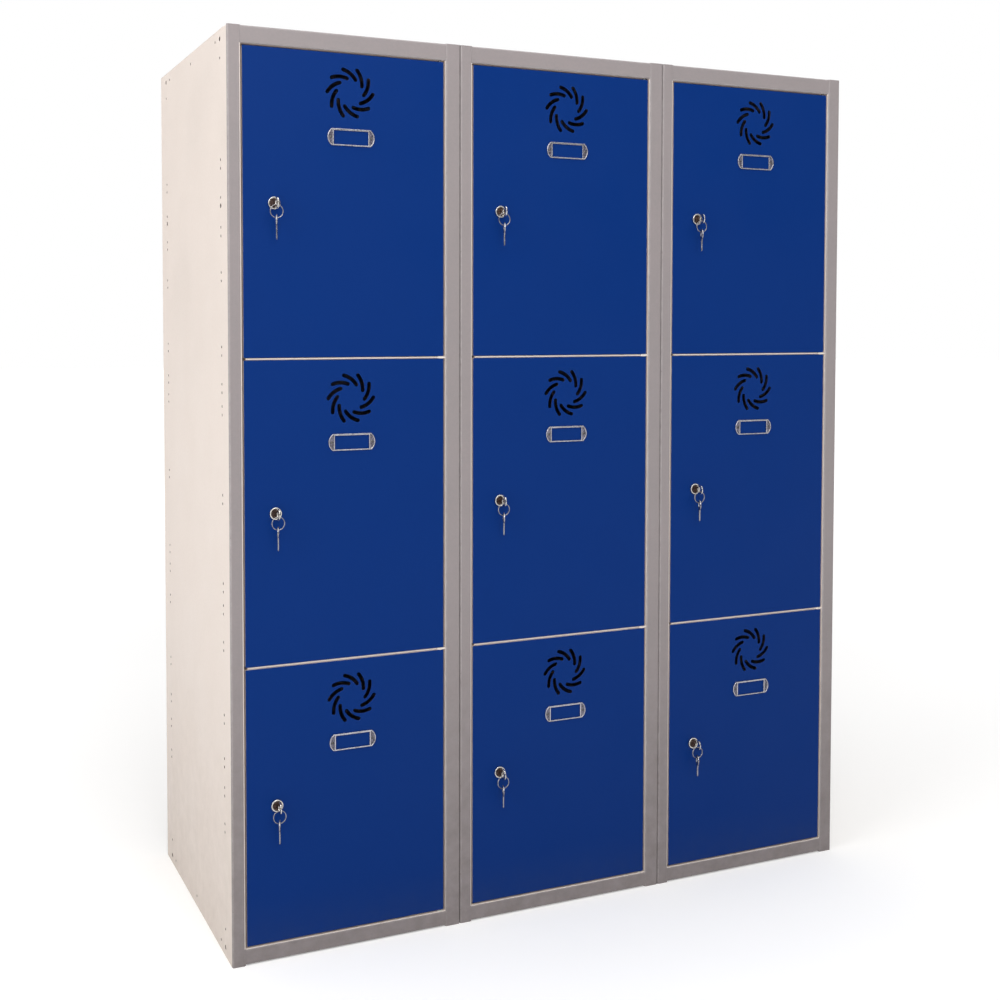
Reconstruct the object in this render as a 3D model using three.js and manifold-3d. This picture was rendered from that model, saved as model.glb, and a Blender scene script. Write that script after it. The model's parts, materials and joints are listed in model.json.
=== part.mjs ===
// Locker cabinet: three sheet-steel units side by side, three compartments in each.
// Millimetres, +Z up, the doors face -Y. The origin is on the floor, under the middle of the whole.

import * as THREE from "three";
import { mergeVertices } from "three/addons/utils/BufferGeometryUtils.js";
import Module from "manifold-3d";

const wasm = await Module();
wasm.setup();

// Units
const unitCount = 3;
const unitPitch = 400; // one unit's width with the seam beside it
const unitSeam = 0.6; // open seam between neighbours
const unitDepth = 500;

// Sheet and how it is folded
const panelSheet = 1.0;
const doorSheet = 1.0;
const frameSheet = 1.2;
const bendRadius = 1.2; // inside a fold
const bendSteps = 2;
const seatGap = 0.3; // between pieces that rest on or are riveted to each other

// Front frame
const latchStile = 22;
const hingeStile = 27;
const topRail = 28;
const bottomRail = 25;
const footDrop = 2.5; // how far the stiles stand below the bottom rail
const frameDepth = 25;
const stileEdge = 4; // depth of the rolled outer edge of a stile
const stileLip = 10; // rear lip, behind the reveal
const railSetback = 0.4; // rail faces in from the faces of the stiles
const sillDepth = 20; // lower leg of the bottom rail

// Doors
const tallDoor = 491; // top and middle compartments
const lowDoor = 449.5; // bottom compartment
const doorDepth = 18;
const doorRecess = 1.5; // door face behind frame face
const doorLip = 10;
const latchGap = 2.5;
const hingeGap = 3;
const headGap = 2.5;
const sillGap = 2.5;
const shelfGap = 4; // between one door and the next, where the shelf edge shows

// Hinges
const pivotInset = 5; // pivot from the door's edge and from its face
const pinRadius = 3;
const pinPlay = 0.4;
const pinSides = 8;
const pinReach = 6; // pin inside the door
const tabThickness = 3;
const tabMargin = 6; // tab beyond the pivot, on the door's side
const tabDepth = 9;

// Shelves, base and top
const hemThickness = 3;
const hemRecess = 3.5; // shelf edge behind the frame face
const hemDepth = 20.5;
const hemRadius = 0.4; // inside the hem's folds
const hemStop = 6; // shelf edge short of the latch stile
const flangeHeight = 15;
const sideFlange = 15;
const frontFlange = 11; // of a side, inside the stile

// Vent: a ring of curved slots
const ventSlots = 10;
const ventOuter = 39; // radius to the outer ends of the slots
const ventInner = 23.7;
const ventSweep = 41; // degrees from the outer end of a slot to its inner end
const ventBow = 36; // radius of a slot's curve
const slotWidth = 5.2;
const slotSteps = 2;
const ventDrop = 63; // vent centre below the door's top
const ventOffset = 7; // vent centre towards the hinge

// Lock
const lockInset = 50; // from the door's latch edge
const bezelRadius = 10;
const bezelHeight = 5;
const bezelChamfer = 1.2;
const barrelRadius = 8;
const barrelLength = 20;
const nutRadius = 12;
const nutThickness = 4;
const plugRadius = 6.3;
const plugPlay = 0.3;
const plugRecess = 0.4;
const lockSides = 12;
const camOverlap = 13.5; // cam behind the latch stile when it is turned across
const camWidth = 14;
const camThickness = 2;
const camClearance = 1.5; // between the cam and the back of the stile
const camScrewRadius = 4.5;
const camScrewHead = 2.5;

// Keys and ring
const keyThickness = 1.8;
const bowRadius = 9.5;
const bowSides = 10;
const eyeRadius = 4.5;
const eyeSides = 8;
const keyNeck = 3.4; // from the plug's face to the bow
const neckWidth = 8;
const bladeLength = 20;
const bladeWidth = 6.5;
const ringRadius = 10.4;
const wireRadius = 0.75;
const wireSides = 5;
const ringSteps = 16;
const ringPlay = 0.3;
const ringBite = 0.2; // spare key's eye pressed onto the wire
const spareTurn = 20; // degrees the spare key hangs turned from the other key

// Worked out from the above
const unitWidth = unitPitch - unitSeam;
const halfWidth = unitWidth / 2;
const keyStand = bezelHeight - plugRecess + keyNeck + 2 * bowRadius; // in front of the door
const keyReach = keyStand - doorRecess; // how far the keys stand in front of the frame
const frontY = (keyReach - unitDepth) / 2;
const backY = frontY + unitDepth;
const openingLow = footDrop + bottomRail;
const doors = [
  { name: "bottom", height: lowDoor, low: openingLow + sillGap },
  { name: "middle", height: tallDoor, low: openingLow + sillGap + lowDoor + shelfGap },
  { name: "top", height: tallDoor, low: openingLow + sillGap + lowDoor + 2 * shelfGap + tallDoor },
];
const openingHigh = doors[2].low + tallDoor + headGap;
const unitHeight = openingHigh + topRail;
const latchReveal = latchStile - halfWidth; // x of the latch stile's inner face
const hingeReveal = halfWidth - hingeStile;
const doorLeft = latchReveal + latchGap;
const doorRight = hingeReveal - hingeGap;
const doorWidth = doorRight - doorLeft;
const doorFace = frontY + doorRecess;
const pivotX = doorRight - pivotInset;
const pivotY = doorFace + pivotInset;
const camLength = lockInset + latchGap + camOverlap;
const camFront = frameDepth + camClearance - doorRecess; // behind the door's face
const sideInner = halfWidth - panelSheet;
const sideTop = unitHeight - panelSheet - seatGap;
const backInner = backY - 2 * panelSheet - seatGap; // front face of the back panel
const behindFrame = frontY + frameDepth + seatGap;

const steel = (color, roughness) => new THREE.MeshStandardMaterial({ color, roughness, metalness: 0.1 });
const creamPaint = steel(0xeee4da, 0.55);
const greyPaint = steel(0x9e9794, 0.5);
const bluePaint = steel(0x0d3578, 0.45);
const nickel = new THREE.MeshStandardMaterial({ color: 0xc4c1bb, roughness: 0.25, metalness: 1 });
const brightSteel = new THREE.MeshStandardMaterial({ color: 0xa9a6a3, roughness: 0.35, metalness: 1 });

// Solids

function solid(geometry) {
  geometry.deleteAttribute("normal");
  geometry.deleteAttribute("uv");
  const merged = mergeVertices(geometry, 1e-4);
  const vertProperties = new Float32Array(merged.attributes.position.array);
  const triVerts = new Uint32Array(merged.index.array);
  return new wasm.Manifold(new wasm.Mesh({ numProp: 3, vertProperties, triVerts }));
}

function geometryOf(manifold) {
  const mesh = manifold.getMesh();
  const geometry = new THREE.BufferGeometry();
  geometry.setAttribute("position", new THREE.BufferAttribute(new Float32Array(mesh.vertProperties), 3));
  geometry.setIndex(new THREE.BufferAttribute(new Uint32Array(mesh.triVerts), 1));
  geometry.computeVertexNormals();
  return geometry;
}

function box([x0, x1], [y0, y1], [z0, z1]) {
  const geometry = new THREE.BoxGeometry(x1 - x0, y1 - y0, z1 - z0);
  return solid(geometry.translate((x0 + x1) / 2, (y0 + y1) / 2, (z0 + z1) / 2));
}

function join(...pieces) {
  return pieces.reduce((whole, piece) => whole.add(piece));
}

function extrude(outline, holes, length) {
  const shape = new THREE.Shape(outline.map(([u, v]) => new THREE.Vector2(u, v)));
  for (const hole of holes) shape.holes.push(new THREE.Path(hole.map(([u, v]) => new THREE.Vector2(u, v))));
  return new THREE.ExtrudeGeometry(shape, { depth: length, steps: 1, bevelEnabled: false });
}

// An outline in (x, y), standing up from z0 to z1.
function alongZ(outline, [z0, z1], holes = []) {
  return solid(extrude(outline, holes, z1 - z0).translate(0, 0, z0));
}

// An outline in (y, z), lying along X from x0 to x1.
function alongX(outline, [x0, x1], holes = []) {
  const turn = new THREE.Matrix4().set(0, 0, 1, x0, 1, 0, 0, 0, 0, 1, 0, 0, 0, 0, 0, 1);
  return solid(extrude(outline, holes, x1 - x0).applyMatrix4(turn));
}

// An outline in (x, z), lying along Y from y0 to y1.
function alongY(outline, [y0, y1], holes = []) {
  const swap = (points) => points.map(([x, z]) => [z, x]);
  const turn = new THREE.Matrix4().set(0, 1, 0, 0, 0, 0, 1, y0, 1, 0, 0, 0, 0, 0, 0, 1);
  return solid(extrude(swap(outline), holes.map(swap), y1 - y0).applyMatrix4(turn));
}

// Points on an arc about a centre, angles in radians, both ends included.
function arc([cu, cv], radius, from, to, steps) {
  const points = [];
  for (let i = 0; i <= steps; i++) {
    const angle = from + ((to - from) * i) / steps;
    points.push([cu + radius * Math.cos(angle), cv + radius * Math.sin(angle)]);
  }
  return points;
}

function circle(centre, radius, sides) {
  return arc(centre, radius, 0, 2 * Math.PI * (1 - 1 / sides), sides - 1);
}

// The outline of a folded sheet. The path runs along one face of it, and the metal lies to the
// left of the path. Every corner of the path is a fold with a round inside and a round outside.
function foldedSheet(path, thickness, inside = bendRadius) {
  const face = [path[0]];
  const other = [];
  const heading = (i) => Math.atan2(path[i + 1][1] - path[i][1], path[i + 1][0] - path[i][0]);
  const beside = ([u, v], angle, by) => [u - by * Math.sin(angle), v + by * Math.cos(angle)];
  other.push(beside(path[0], heading(0), thickness));
  for (let i = 1; i < path.length - 1; i++) {
    const before = heading(i - 1);
    let turn = heading(i) - before;
    turn -= 2 * Math.PI * Math.round(turn / (2 * Math.PI));
    const side = Math.sign(turn); // +1 folds towards the metal
    const faceRadius = side > 0 ? inside + thickness : inside;
    const otherRadius = side > 0 ? inside : inside + thickness;
    const run = faceRadius * Math.tan(Math.abs(turn) / 2);
    const start = [path[i][0] - run * Math.cos(before), path[i][1] - run * Math.sin(before)];
    const centre = beside(start, before, side * faceRadius);
    const from = before - (side * Math.PI) / 2;
    face.push(...arc(centre, faceRadius, from, from + turn, bendSteps));
    other.push(...arc(centre, otherRadius, from, from + turn, bendSteps));
  }
  const last = path.length - 1;
  face.push(path[last]);
  other.push(beside(path[last], heading(last - 1), thickness));
  return [...face, ...other.reverse()];
}

// Carcass

// The side is one sheet folded in at the front, back, top and bottom. hand is -1 left, +1 right.
function sidePanel(hand) {
  const outer = hand * halfWidth;
  const front = frontY + stileEdge + seatGap;
  const path = [
    [hand * (halfWidth - frontFlange), front],
    [outer, front],
    [outer, backY],
    [hand * (halfWidth - sideFlange), backY],
  ];
  const wall = alongZ(foldedSheet(hand < 0 ? path.reverse() : path, panelSheet), [0, sideTop]);
  const across = [outer - (hand * panelSheet) / 2, outer - hand * sideFlange].sort((a, b) => a - b);
  const along = [behindFrame + panelSheet, backY - panelSheet - bendRadius];
  const foot = box(across, along, [0, panelSheet]);
  const head = box(across, along, [sideTop - panelSheet, sideTop]);
  return join(wall, foot, head);
}

function backPanel() {
  const half = sideInner - bendRadius;
  const rise = panelSheet + seatGap;
  return box([-half, half], [backInner, backInner + panelSheet], [rise, sideTop - rise]);
}

// The lid lies over the sides, with a flange down behind the top rail and another at the back.
function topPanel() {
  const high = unitHeight;
  const low = high - panelSheet;
  const half = halfWidth - sideFlange - seatGap;
  const plate = box([-halfWidth, halfWidth], [behindFrame, backY], [low, high]);
  const front = box([-half, half], [behindFrame, behindFrame + panelSheet], [high - flangeHeight, high]);
  const rearY = backInner - seatGap;
  const rear = box([-half, half], [rearY - panelSheet, rearY], [high - flangeHeight, high]);
  return join(plate, front, rear);
}

// An upturned tray that stands on the lower flanges of the sides.
function basePanel() {
  const high = openingLow - panelSheet / 2;
  const low = panelSheet + seatGap;
  const half = sideInner - seatGap;
  const rearY = backInner - seatGap;
  const block = box([-half, half], [behindFrame, rearY], [low, high]);
  const hollow = box(
    [panelSheet - half, half - panelSheet],
    [behindFrame + panelSheet, rearY - panelSheet],
    [low - 1, high - panelSheet],
  );
  return block.subtract(hollow);
}

// A shelf whose hemmed front edge shows between two doors. It stops short of the stiles there,
// and behind the frame it is as wide as the unit, with flanges turned down along three sides.
function shelf(gapLow) {
  const low = gapLow + (shelfGap - hemThickness) / 2;
  const high = low + hemThickness;
  const rearY = backInner - seatGap;
  const half = sideInner - seatGap;
  const hemFront = frontY + hemRecess;
  const path = [
    [behindFrame + panelSheet, high],
    [hemFront, high],
    [hemFront, low],
    [hemFront + hemDepth, low],
  ];
  const hemEnds = [latchReveal + hemStop, pivotX - tabMargin - seatGap];
  const hem = alongX(foldedSheet(path, panelSheet, hemRadius), hemEnds);
  const block = box([-half, half], [behindFrame, rearY], [high - flangeHeight, high]);
  const hollow = box(
    [panelSheet - half, half - panelSheet],
    [behindFrame - 1, rearY - panelSheet],
    [high - flangeHeight - 1, high - panelSheet],
  );
  return join(block.subtract(hollow), hem);
}

// Two stiles and two rails, welded, with the hinge tabs and pins on the hinge side. A stile is closed
// at both ends; at its foot the closing plate is notched round the flange of the side panel.
function frontFrame() {
  const tuck = frameSheet / 2; // a weld takes in half the sheet of a stile
  const legDepth = frameDepth - railSetback;
  const stile = (outer, inner) => {
    const inward = Math.sign(inner - outer);
    const path = [
      [outer, frontY + stileEdge],
      [outer, frontY],
      [inner, frontY],
      [inner, frontY + frameDepth],
      [inner - inward * stileLip, frontY + frameDepth],
    ];
    const column = alongZ(foldedSheet(inward < 0 ? path.reverse() : path, frameSheet), [0, unitHeight]);
    const reach = (from) => [outer + inward * from, inner - inward * tuck].sort((a, b) => a - b);
    const deep = [frontY + tuck, frontY + legDepth];
    const behindFlange = [frontY + stileEdge + panelSheet + bendRadius + 2 * seatGap, deep[1]];
    const foot = [tuck / 2, frameSheet];
    return join(
      column,
      box(reach(tuck), deep, [unitHeight - frameSheet, unitHeight - tuck / 2]),
      box(reach(frontFlange + seatGap), deep, foot),
      box(reach(panelSheet + seatGap), behindFlange, foot),
    );
  };
  const rail = (high, low, upperLeg, lowerLeg) => {
    const face = frontY + railSetback;
    const path = [
      [frontY + upperLeg, high],
      [face, high],
      [face, low],
      [frontY + lowerLeg, low],
    ];
    return alongX(foldedSheet(path, frameSheet), [latchReveal - tuck, hingeReveal + tuck]);
  };
  const pin = (low, high) => alongZ(circle([pivotX, pivotY], pinRadius, pinSides), [low, high]);
  const pieces = [
    stile(-halfWidth, latchReveal),
    stile(halfWidth, hingeReveal),
    rail(unitHeight - railSetback, openingHigh, legDepth, legDepth),
    rail(openingLow, footDrop, legDepth, sillDepth),
    pin(openingHigh - headGap - pinReach, openingHigh + tuck),
    pin(openingLow - tuck, openingLow + sillGap + pinReach),
  ];
  for (const door of doors.slice(1)) {
    const middle = door.low - shelfGap / 2;
    const across = [pivotX - tabMargin, hingeReveal + tuck];
    const deep = [pivotY - tabDepth / 2, pivotY + tabDepth / 2];
    pieces.push(box(across, deep, [middle - tabThickness / 2, middle + tabThickness / 2]));
    pieces.push(pin(middle - shelfGap / 2 - pinReach, middle + shelfGap / 2 + pinReach));
  }
  return join(...pieces);
}

// Doors. Each is made about the middle of its face: x = 0 halfway across, y = 0 the face, z = 0 its foot.

const lockX = lockInset - doorWidth / 2;

// One slot of the vent, about the vent's centre, curving from its outer end to its inner end.
function ventSlot(turn) {
  const half = slotWidth / 2;
  const place = (radius, angle) => [radius * Math.cos(angle), radius * Math.sin(angle)];
  const outerEnd = place(ventOuter, turn);
  const innerEnd = place(ventInner, turn - THREE.MathUtils.degToRad(ventSweep));
  const along = [innerEnd[0] - outerEnd[0], innerEnd[1] - outerEnd[1]];
  const chord = Math.hypot(...along);
  const rise = Math.sqrt(ventBow ** 2 - (chord / 2) ** 2);
  const centre = [
    (outerEnd[0] + innerEnd[0]) / 2 + (along[1] / chord) * rise,
    (outerEnd[1] + innerEnd[1]) / 2 - (along[0] / chord) * rise,
  ];
  const from = Math.atan2(outerEnd[1] - centre[1], outerEnd[0] - centre[0]);
  const sweep = -2 * Math.asin(chord / 2 / ventBow);
  const outside = arc(centre, ventBow + half, from, from + sweep, slotSteps);
  const inside = arc(centre, ventBow - half, from + sweep, from, slotSteps);
  const innerTip = place(half, from + sweep - Math.PI / 2);
  const outerTip = place(half, from + Math.PI / 2);
  return [
    ...outside,
    [innerEnd[0] + innerTip[0], innerEnd[1] + innerTip[1]],
    ...inside,
    [outerEnd[0] + outerTip[0], outerEnd[1] + outerTip[1]],
  ];
}

function doorPan(height) {
  const half = doorWidth / 2;
  const inner = half - doorSheet;
  let pan = box([-half, half], [0, doorDepth], [0, height]);
  const inside = [doorSheet, doorDepth - doorSheet];
  pan = pan.subtract(box([-inner, inner], inside, [doorSheet, height - doorSheet]));
  const mouth = [doorLip - half, half - doorLip];
  pan = pan.subtract(box(mouth, [doorDepth - 2 * doorSheet, doorDepth + 1], [doorLip, height - doorLip]));
  const through = [-1, doorSheet + 1];
  const ventAt = [ventOffset, height - ventDrop];
  for (let i = 0; i < ventSlots; i++) {
    const slot = ventSlot((2 * Math.PI * i) / ventSlots).map(([x, z]) => [x + ventAt[0], z + ventAt[1]]);
    pan = pan.subtract(alongY(slot, through));
  }
  pan = pan.subtract(alongY(circle([lockX, height / 2], barrelRadius + seatGap, lockSides), through));
  const pinHole = circle([half - pivotInset, pivotInset], pinRadius + pinPlay, pinSides);
  pan = pan.subtract(alongZ(pinHole, [-1, doorSheet + 1]));
  return pan.subtract(alongZ(pinHole, [height - doorSheet - 1, height + 1]));
}

// Lock. Made about its own axis: y = 0 is the door's face.

function lockBody() {
  const bore = plugRadius + plugPlay;
  const nutFront = doorSheet + seatGap;
  const profile = [
    [bore, barrelLength],
    [barrelRadius, barrelLength],
    [barrelRadius, nutFront + nutThickness],
    [nutRadius, nutFront + nutThickness],
    [nutRadius, nutFront],
    [barrelRadius, nutFront],
    [barrelRadius, -seatGap],
    [bezelRadius, -seatGap],
    [bezelRadius, bezelChamfer - bezelHeight],
    [bezelRadius - bezelChamfer, -bezelHeight],
    [bore, -bezelHeight],
    [bore, barrelLength],
  ];
  const points = profile.map(([r, y]) => new THREE.Vector2(r, y)).reverse();
  return solid(new THREE.LatheGeometry(points, lockSides));
}

// A key's outline, with its bow about the origin and the blade along -v; the eye is its hole.
function keyOutline(neck, shank, length) {
  const start = Math.asin(neck / 2 / bowRadius) - Math.PI / 2;
  const bow = arc([0, 0], bowRadius, start, 1.5 * Math.PI - (start + Math.PI / 2), bowSides);
  const shoulder = -bowRadius - keyNeck;
  return [
    ...bow,
    [-neck / 2, shoulder],
    [-shank / 2, shoulder],
    [-shank / 2, shoulder - length],
    [shank / 2, shoulder - length],
    [shank / 2, shoulder],
    [neck / 2, shoulder],
  ];
}

const eye = circle([0, 0], eyeRadius, eyeSides);
const bowY = plugRecess - bezelHeight - keyNeck - bowRadius; // bow centre, in front of the door

// Plug, key and cam turn as one. The key stands upright in the plug and the cam hangs down.
function plugWithKey() {
  const plugFace = plugRecess - bezelHeight;
  const camBack = camFront + camThickness;
  const plug = alongY(circle([0, 0], plugRadius, lockSides), [plugFace, camBack]);
  const round = camWidth / 2;
  const cam = alongY(
    [...arc([0, 0], round, 0, Math.PI, 4), ...arc([0, round - camLength], round, Math.PI, 2 * Math.PI, 4)],
    [camFront, camBack],
  );
  const screw = alongY(circle([0, 0], camScrewRadius, 6), [camBack - 1, camBack + camScrewHead]);
  const outline = keyOutline(neckWidth, bladeWidth, plugRecess + 1).map(([u, v]) => [bowY - v, u]);
  const hole = eye.map(([u, v]) => [bowY - v, u]);
  const key = alongX(outline, [-keyThickness / 2, keyThickness / 2], [hole]);
  return join(plug, cam, screw, key);
}

// The ring hangs in the eye of the key, and the spare key hangs from the foot of the ring.
function ringWithSpare() {
  const ringTop = ringPlay - eyeRadius; // underside of the wire in the eye
  const ringZ = ringTop + wireRadius - ringRadius;
  const wire = circle([ringRadius, bowY], wireRadius, wireSides).map(([r, y]) => new THREE.Vector2(r, y));
  const lathe = new THREE.LatheGeometry([...wire, wire[0]], ringSteps).translate(0, 0, ringZ);
  const spareZ = ringZ - ringRadius + wireRadius - ringBite - eyeRadius;
  const outline = keyOutline(neckWidth, bladeWidth, bladeLength);
  const flat = extrude(outline, [eye], keyThickness).translate(0, 0, -keyThickness / 2);
  const stand = new THREE.Matrix4().set(0, 0, 1, 0, 1, 0, 0, 0, 0, 1, 0, 0, 0, 0, 0, 1);
  const turn = new THREE.Matrix4().makeRotationZ(-THREE.MathUtils.degToRad(spareTurn));
  const spare = flat.applyMatrix4(stand).applyMatrix4(turn).translate(0, bowY, spareZ);
  return join(solid(lathe), solid(spare));
}

// The assembly

function place(name, geometry, material, [x, y, z] = [0, 0, 0]) {
  const mesh = new THREE.Mesh(geometry, material);
  mesh.name = name;
  mesh.position.set(x, y, z);
  return mesh;
}

const shapes = {
  sideLeft: geometryOf(sidePanel(-1)),
  sideRight: geometryOf(sidePanel(1)),
  back: geometryOf(backPanel()),
  top: geometryOf(topPanel()),
  base: geometryOf(basePanel()),
  frame: geometryOf(frontFrame()),
  upperShelf: geometryOf(shelf(doors[2].low - shelfGap)),
  lowerShelf: geometryOf(shelf(doors[1].low - shelfGap)),
  lockBody: geometryOf(lockBody()),
  plug: geometryOf(plugWithKey()),
  ring: geometryOf(ringWithSpare()),
};
const doorShapes = new Map([tallDoor, lowDoor].map((height) => [height, geometryOf(doorPan(height))]));

function unit(number) {
  const group = new THREE.Group();
  const name = (piece) => `unit${number}_${piece}`;
  group.add(
    place(name("side_left"), shapes.sideLeft, creamPaint),
    place(name("side_right"), shapes.sideRight, creamPaint),
    place(name("back_panel"), shapes.back, creamPaint),
    place(name("top_panel"), shapes.top, creamPaint),
    place(name("base_panel"), shapes.base, creamPaint),
    place(name("front_frame"), shapes.frame, greyPaint),
    place(name("upper_shelf"), shapes.upperShelf, creamPaint),
    place(name("lower_shelf"), shapes.lowerShelf, creamPaint),
  );
  const doorX = (doorLeft + doorRight) / 2;
  for (const door of doors) {
    const lockAt = [doorX + lockX, doorFace, door.low + door.height / 2];
    group.add(
      place(name(`${door.name}_door`), doorShapes.get(door.height), bluePaint, [doorX, doorFace, door.low]),
      place(name(`${door.name}_lock_body`), shapes.lockBody, nickel, lockAt),
      place(name(`${door.name}_lock_plug`), shapes.plug, nickel, lockAt),
      place(name(`${door.name}_key_ring`), shapes.ring, brightSteel, lockAt),
    );
  }
  return group;
}

const cabinet = new THREE.Group();
cabinet.name = "locker_cabinet";
for (let i = 0; i < unitCount; i++) {
  const group = unit(i + 1);
  group.position.x = (i - (unitCount - 1) / 2) * unitPitch;
  cabinet.add(group);
}

export default cabinet;
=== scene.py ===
import json
import math

import bmesh
import bpy
from mathutils import Matrix, Vector
from mathutils.geometry import delaunay_2d_cdt


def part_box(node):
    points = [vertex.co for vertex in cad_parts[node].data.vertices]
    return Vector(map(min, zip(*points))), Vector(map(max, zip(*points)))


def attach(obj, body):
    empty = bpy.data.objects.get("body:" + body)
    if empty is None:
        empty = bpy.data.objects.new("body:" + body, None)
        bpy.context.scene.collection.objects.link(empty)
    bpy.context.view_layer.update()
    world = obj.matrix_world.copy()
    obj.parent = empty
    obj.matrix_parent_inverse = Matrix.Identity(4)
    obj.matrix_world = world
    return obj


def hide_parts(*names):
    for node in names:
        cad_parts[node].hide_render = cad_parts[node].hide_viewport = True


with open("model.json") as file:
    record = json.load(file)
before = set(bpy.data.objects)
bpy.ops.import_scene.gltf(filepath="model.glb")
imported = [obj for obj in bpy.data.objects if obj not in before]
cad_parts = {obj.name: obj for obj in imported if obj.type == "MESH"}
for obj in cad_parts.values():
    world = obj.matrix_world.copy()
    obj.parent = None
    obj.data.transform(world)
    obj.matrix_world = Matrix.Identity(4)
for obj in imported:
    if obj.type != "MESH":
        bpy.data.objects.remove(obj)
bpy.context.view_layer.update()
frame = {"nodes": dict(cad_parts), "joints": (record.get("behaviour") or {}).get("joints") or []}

mm = 0.001  # shapes are drawn in millimetres and placed in metres
tiers = ("top", "middle", "bottom")
units = (1, 2, 3)
# A flat shape drawn in u and v, with its thickness along w, is stood up in front of the door or behind it
facingFront = Matrix(((1, 0, 0, 0), (0, 0, -1, 0), (0, 1, 0, 0), (0, 0, 0, 1)))
facingBack = Matrix(((1, 0, 0, 0), (0, 0, 1, 0), (0, 1, 0, 0), (0, 0, 0, 1)))


def corners(node):
    low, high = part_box(node)
    return low / mm, high / mm


def moved(x=0, y=0, z=0):
    return Matrix.Translation((x, y, z))


# The angles of a quarter turn, in even steps
def quarterTurn(steps):
    return [math.pi / 2 * i / steps for i in range(steps + 1)]


# Shapes: points, how worn each point is (0 to 1), faces, and the paint of each face

def newShape():
    return {"points": [], "wear": [], "faces": [], "paints": []}


def addLoop(shape, points, wear=0.0):
    first = len(shape["points"])
    for point in points:
        shape["points"].append(Vector(point))
        shape["wear"].append(wear)
    return list(range(first, len(shape["points"])))


def addFace(shape, loop, paint=0):
    shape["faces"].append(tuple(loop))
    shape["paints"].append(paint)


# A band of faces between two loops of as many points; the sides numbered in leaveOut stay open
def bridge(shape, first, second, paint=0, leaveOut=()):
    for i in range(len(first)):
        j = (i + 1) % len(first)
        if i not in leaveOut:
            addFace(shape, (first[i], first[j], second[j], second[i]), paint)


def bridgeAll(shape, rings, paint=0, leaveOut=()):
    for first, second in zip(rings, rings[1:]):
        bridge(shape, first, second, paint, leaveOut)


# A flat face inside one loop and outside the others, in two of the three axes
def fillLoop(shape, outer, holes=(), plane=(0, 1), paint=0):
    loops = [outer, *holes]
    index = [i for loop in loops for i in loop]
    flat = [Vector((shape["points"][i][plane[0]], shape["points"][i][plane[1]])) for i in index]
    rim, start = [], len(outer)
    for loop in holes:
        rim += [(start + i, start + (i + 1) % len(loop)) for i in range(len(loop))]
        start += len(loop)
    found = delaunay_2d_cdt(flat, rim, [list(range(len(outer)))], 2, 1e-6)
    for triangle in found[2]:
        addFace(shape, [index[found[3][i][0]] for i in triangle], paint)


def addShape(shape, other, turn=Matrix.Identity(4)):
    first = len(shape["points"])
    shape["points"] += [turn @ point for point in other["points"]]
    shape["wear"] += other["wear"]
    shape["faces"] += [tuple(first + i for i in face) for face in other["faces"]]
    shape["paints"] += other["paints"]
    return shape


def turned(other, turn):
    return addShape(newShape(), other, turn)


def pointsAt(centre, radius, angles):
    return [(centre[0] + radius * math.cos(a), centre[1] + radius * math.sin(a)) for a in angles]


def circle(centre, radius, sides, start=0.0):
    return pointsAt(centre, radius, [start + 2 * math.pi * i / sides for i in range(sides)])


def arc(centre, radius, start, end, steps):
    return pointsAt(centre, radius, [start + (end - start) * i / steps for i in range(steps + 1)])


def roundedBox(low, high, radius, steps=4):
    loop = []
    for i, (u, v) in enumerate(((low[0], low[1]), (high[0], low[1]), (high[0], high[1]), (low[0], high[1]))):
        centre = (u + radius * (1 if u == low[0] else -1), v + radius * (1 if v == low[1] else -1))
        start = math.pi + i * math.pi / 2
        loop += arc(centre, radius, start, start + math.pi / 2, steps)
    return loop


# A counter-clockwise loop moved inwards; a negative step moves it outwards
def insetLoop(loop, step):
    inset = []
    for i, here in enumerate(loop):
        here, before, after = Vector(here), Vector(loop[i - 1]), Vector(loop[(i + 1) % len(loop)])
        a, b = (here - before).normalized(), (after - here).normalized()
        inward = Vector((-a.y - b.y, a.x + b.x))
        inset.append(here + inward * (step / (1 + a.dot(b))))
    return inset


# A plate between w = 0 and its thickness, with softened edges, holes through it and
# shallow pockets in both of its faces
def slab(outline, thickness, soft, holes=(), pockets=(), pocketDepth=0.0, steps=3):
    shape = newShape()
    front = [(soft * (1 - math.sin(a)), soft * (1 - math.cos(a))) for a in quarterTurn(steps)]
    levels = front + [(step, thickness - w) for step, w in reversed(front)]
    rims = []
    for loop, side in [(outline, 1)] + [(hole, -1) for hole in holes]:
        rings = []
        for step, w in levels:
            points = [(u, v, w) for u, v in insetLoop(loop, step * side)]
            rings.append(addLoop(shape, points, 1 - step / soft))
        bridgeAll(shape, rings)
        rims.append((rings[0], rings[-1]))
    for face, level, into in ((0, 0.0, 1), (1, thickness, -1)):
        mouths = []
        for pocket in pockets:
            mouth = addLoop(shape, [(u, v, level) for u, v in pocket])
            deep = [(u, v, level + into * pocketDepth) for u, v in insetLoop(pocket, pocketDepth / 2)]
            floor = addLoop(shape, deep)
            bridge(shape, mouth, floor)
            fillLoop(shape, floor)
            mouths.append(mouth)
        fillLoop(shape, rims[0][face], [rim[face] for rim in rims[1:]] + mouths)
    return shape


# A profile of (radius, along) turned about the Y axis; wear may be given as a third number
def lathe(profile, sides, closed=True):
    shape = newShape()
    rings = []
    for radius, along, *wear in profile:
        if radius < 1e-6:
            rings.append(addLoop(shape, [(0, along, 0)], *wear))
        else:
            rings.append(addLoop(shape, [(u, along, v) for u, v in circle((0, 0), radius, sides)], *wear))
    pairs = list(zip(rings, rings[1:])) + ([(rings[-1], rings[0])] if closed else [])
    for first, second in pairs:
        if len(first) == len(second) == sides:
            bridge(shape, first, second)
        elif len(first) != len(second):
            tip, rim = sorted((first, second), key=len)
            for i in range(sides):
                addFace(shape, (tip[0], rim[i], rim[(i + 1) % sides]))
    return shape


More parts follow.
